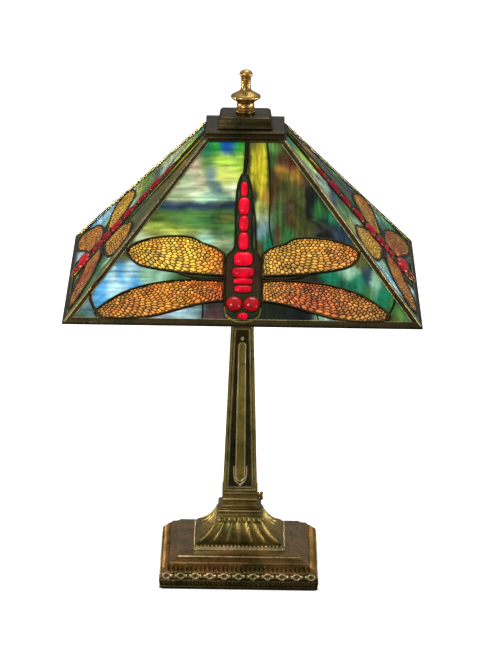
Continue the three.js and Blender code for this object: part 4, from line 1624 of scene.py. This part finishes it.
riser = turned(
    "riser",
    [
        (3.6, 398.4), (5.4, 398.4), (5.5, 404.6), (4.8, 405.4), (4.8, 508.0), (5.2, 510.0),
        (7.0, 513.0), (10.4, 515.4), (12.8, 517.2), (13.0, 518.0), (12.8, 519.4), (3.6, 519.4),
    ],
    closed=True,
)
dress(riser, "stand", [BRASS], ["riser_tube"])
print("hub:", len(light_hub.data.polygons), "faces")

# %% Sockets and bulbs
SOCKET_CUP = [
    (5.4, 22), (7.6, 22), (8.0, 22.4), (8.4, 24.0), (10.6, 25.2), (13.4, 27.6), (15.6, 30.6),
    (16.9, 33.6), (17.2, 35.0), (17.2, 38.0), (15.8, 38.0), (15.8, 34.6), (12.6, 29.4),
    (7.0, 28.0), (5.4, 28.0), (5.4, 22),
]
SOCKET_SHELL = [(0, 38.3), (15.9, 38.3), (16.4, 38.9), (16.4, 41.0), (15.9, 41.6)]
for ring in range(5):
    start = 44.5 + 3.6 * ring
    SOCKET_SHELL += [(15.9, start), (16.35, start + 0.7)]
    SOCKET_SHELL += [(16.35, start + 1.5), (15.9, start + 2.2)]
SOCKET_SHELL += [
    (15.9, 65.4), (16.8, 66.2), (17.4, 67.2), (17.4, 69.2), (16.9, 70.0), (15.1, 70.0),
    (14.6, 69.4), (14.6, 41.4), (0, 41.4),
]
BULB_SCREW = [(0, 46.7), (10.6, 46.7), (11.6, 47.4), (12.4, 48.6)]
for ring in range(5):
    start = 49.6 + 3.3 * ring
    BULB_SCREW += [(12.35, start), (12.95, start + 1.0), (13.0, start + 1.6), (12.4, start + 2.7)]
BULB_SCREW += [
    (12.4, 67.4), (12.2, 69.4), (11.4, 69.4), (11.7, 66.6), (11.7, 48.8), (10.4, 47.5), (0, 47.5),
]
BULB_INSULATOR = [
    (0, 42.0), (3.0, 42.0), (3.6, 42.3), (4.4, 43.2), (8.6, 45.2), (9, 45.7), (9, 46.4),
    (0, 46.4),
]
PEAR_RADIUS, PEAR_CENTRE = 24, 107.5


def bulb_skin(wall):
    """The bulb's profile from the crown to the neck, one wall thickness in."""
    shape = [(12.3, 69.7), (12.6, 74), (13.6, 79), (15.9, 85), (19.2, 92), (22.2, 99.2)]
    for k in range(9):
        a = math.pi / 2 * k / 9
        shape.append((PEAR_RADIUS * math.cos(a), PEAR_CENTRE + PEAR_RADIUS * math.sin(a)))
    shrunk = [(r - wall, h - (wall if h > PEAR_CENTRE else 0)) for r, h in shape]
    return [(0, PEAR_CENTRE + PEAR_RADIUS - wall)] + shrunk[::-1]


def lamp_piece(name, profile, side, body, slot, material, stands_for, steps=40):
    piece = turned(name, profile, steps)
    along_x(piece, side, LIGHT_HEIGHT)
    return dress(piece, body, [material], [stands_for])


BULB_WALL = 1.2
pear = bulb_skin(0) + bulb_skin(BULB_WALL)[::-1]
STAND_BRASS = ("stand", "brass", BRASS)
for hand, side in (("left", -1), ("right", 1)):
    bulb, contact = f"bulb_{hand}", (f"bulb_{hand}_contact", "black_plastic", BLACK)
    lamp_piece(f"socket_cup_{hand}", SOCKET_CUP, side, *STAND_BRASS, f"socket_cap_{hand}")
    lamp_piece(f"socket_barrel_{hand}", SOCKET_SHELL, side, *STAND_BRASS, f"socket_shell_{hand}")
    lamp_piece(f"bulb_tip_{hand}", BULB_INSULATOR, side, *contact, f"bulb_insulator_{hand}")
    screw, glazed = f"bulb_screw_{hand}", f"bulb_glass_{hand}"
    lamp_piece(f"bulb_thread_{hand}", BULB_SCREW, side, bulb, "steel", ZINC, screw)
    lamp_piece(f"{bulb}_pear", pear, side, bulb, "pearl_glass", PEARL, glazed, 48)
print("bulb profile points:", len(pear))

# %% [markdown]
# The switch has a turned brass knob. Its grip is a knurl, made by pushing the turned surface out
# and in fourteen times round.

# %% Switch
SWITCH_HEIGHT = 87.8
KNOB = [
    (0, 16), (1.7, 16), (1.7, 23.6), (4.2, 23.7), (4.9, 24.3), (5.1, 25.0), (5.1, 26.2),
    (4.7, 27.0), (3.6, 27.6), (1.6, 27.8), (0, 27.8),
]
knob = turned("switch_grip", KNOB, 56)
for vertex in knob.data.vertices:
    r = math.hypot(vertex.co.x, vertex.co.y)
    if r > 4.4 * MM:
        swell = 1 + 0.035 * math.cos(14 * math.atan2(vertex.co.y, vertex.co.x))
        vertex.co.x, vertex.co.y = vertex.co.x * swell, vertex.co.y * swell
along_x(knob, 1, SWITCH_HEIGHT)
dress(knob, "switch", [BRASS], ["switch_knob"])
nut = turned(
    "switch_ring_nut",
    [(3.7, 21.2), (4.6, 21.2), (4.9, 21.5), (4.9, 22.6), (4.5, 23.0), (3.7, 23.0)],
    steps=40,
    closed=True,
)
along_x(nut, 1, SWITCH_HEIGHT)
dress(nut, "stand", [BRASS], ["switch_nut"])
print("knob:", len(knob.data.polygons), "faces")

# %% [markdown]
# ## Seat, spider, studs and underside
#
# These plain parts keep the frame's shape. A merged copy with its edges eased stands for each
# part that can be seen when the shade comes off; the rest only get their finish.


# %% Eased copies
def eased_copy(source, name, width, body, materials):
    obj = mesh_object(name, [(0, 0, 0)])
    obj.data = nodes[source].data.copy()
    obj.data.name = name
    obj.data.materials.clear()
    close_up(obj)
    edit(obj)
    bpy.ops.mesh.dissolve_limited(angle_limit=math.radians(1))
    bpy.ops.object.mode_set(mode="OBJECT")
    ease_edges(obj, width, brighten=len(materials) > 1)
    return dress(obj, body, materials, [source])


eased_copy("column_capital", "column_top_moulding", 0.5, "stand", [ANTIQUE, RUBBED_AND_HIGHLIT])
eased_copy("shade_top_ring", "shade_neck_ring", 0.3, "shade", [LEAD, RUBBED_AND_HIGHLIT])
eased_copy("shade_spider", "shade_cross", 0.3, "shade", [BRASS, RUBBED_AND_HIGHLIT])
eased_copy("switch_body", "switch_case", 0.5, "stand", [BLACK])
eased_copy("felt_pad", "felt_sole", 0.4, "stand", [FELT])
eased_copy("bottom_cover", "bottom_plate", 0.3, "stand", [ZINC])
eased_copy("ballast_weight", "ballast_block", 1.2, "stand", [IRON])
eased_copy("clamp_nut", "clamp_hexagon", 0.5, "stand", [ZINC])
seat = turned(
    "seat_ring",
    [(3.6, 519.7), (10.7, 519.7), (11.0, 520.0), (11.0, 520.4), (10.7, 520.7), (3.6, 520.7)],
    closed=True,
)
dress(seat, "seat", [BRASS], ["seat_washer"])
bushing = turned(
    "cord_grommet",
    [
        (3.6, 86), (5.4, 86), (5.4, 93.05), (6.6, 93.05), (6.6, 94.2), (6.2, 95.1), (5.4, 95.65),
        (4.2, 95.65), (3.6, 95.1),
    ],
    closed=True,
)
CORD_HEIGHT = 8.8
bushing.data.transform(Matrix.Rotation(-math.pi / 2, 4, "X"))
bushing.data.transform(Matrix.Translation((0, 0, CORD_HEIGHT * MM)))
dress(bushing, "stand", [BLACK], ["cord_bushing"])
insert = turned(
    "finial_thread_insert",
    [(3.5, 551.8), (5.2, 551.8), (5.4, 552.1), (5.4, 560.7), (5.1, 561.0), (3.5, 561.0)],
    closed=True,
)
dress(insert, "finial_nut", [BRASS], ["finial_insert"])
print("small parts done")


# %% Threads
def thread(name, radius, low, high, pitch, depth, bore, replaced):
    profile = [(bore, low)] if bore else [(0, low)]
    level = low
    while level + pitch < high:
        profile += [(radius - depth, level), (radius, level + pitch / 2)]
        level += pitch
    profile += [(radius - depth, high), (bore or 0, high)]
    obj = turned(name, profile, 20, closed=bool(bore))
    return dress(obj, "stand", [ZINC], [replaced])


thread("stud_thread", 3.1, 496, 560.5, 1.0, 0.35, 0, "top_stud")
thread("rod_thread", 4.8, 5, 377.6, 1.6, 0.5, 3, "threaded_rod")
print("threads done")

# %% [markdown]
# ## Floor
#
# The floor is a wide pale sheet that is not part of the lamp. It shines a little by itself, so
# the far end stays as pale as the near end. From below it is clear, so that the felt and the
# cover plate can be seen.

# %% Floor
FLOOR_LEVEL = -0.0003
corners = [(-6, -6), (6, -6), (6, 9), (-6, 9)]
floor = mesh_object("floor", [(x, y, FLOOR_LEVEL) for x, y in corners], faces=[(0, 1, 2, 3)])
paper = bpy.data.materials.new("pale_paper")
paper.use_nodes = True
tree = paper.node_tree
sheet = tree.nodes["Principled BSDF"]
tooth = node(tree, "TexNoise", Scale=3.0, Detail=2.0).outputs["Fac"]
whites = blend_colors(tree, tooth, (0.93, 0.93, 0.93), (0.97, 0.97, 0.97))
tree.links.new(whites, sheet.inputs["Base Color"])
sheet.inputs["Roughness"].default_value = 0.9
sheet.inputs["Specular IOR Level"].default_value = 0.0
sheet.inputs["Emission Color"].default_value = (1, 1, 1, 1)
sheet.inputs["Emission Strength"].default_value = 0.72
dull = node(tree, "BsdfDiffuse", Color=(0.3, 0.28, 0.24, 1)).outputs[0]
seen = node(tree, "LightPath").outputs["Is Camera Ray"]
either = node(tree, "MixShader", {0: seen, 1: dull, 2: sheet.outputs[0]}).outputs[0]
below = node(tree, "NewGeometry").outputs["Backfacing"]
clear = node(tree, "BsdfTransparent").outputs[0]
from_below = node(tree, "MixShader", {0: below, 1: either, 2: clear}).outputs[0]
tree.links.new(from_below, tree.nodes["Material Output"].inputs["Surface"])
floor.data.materials.append(paper)
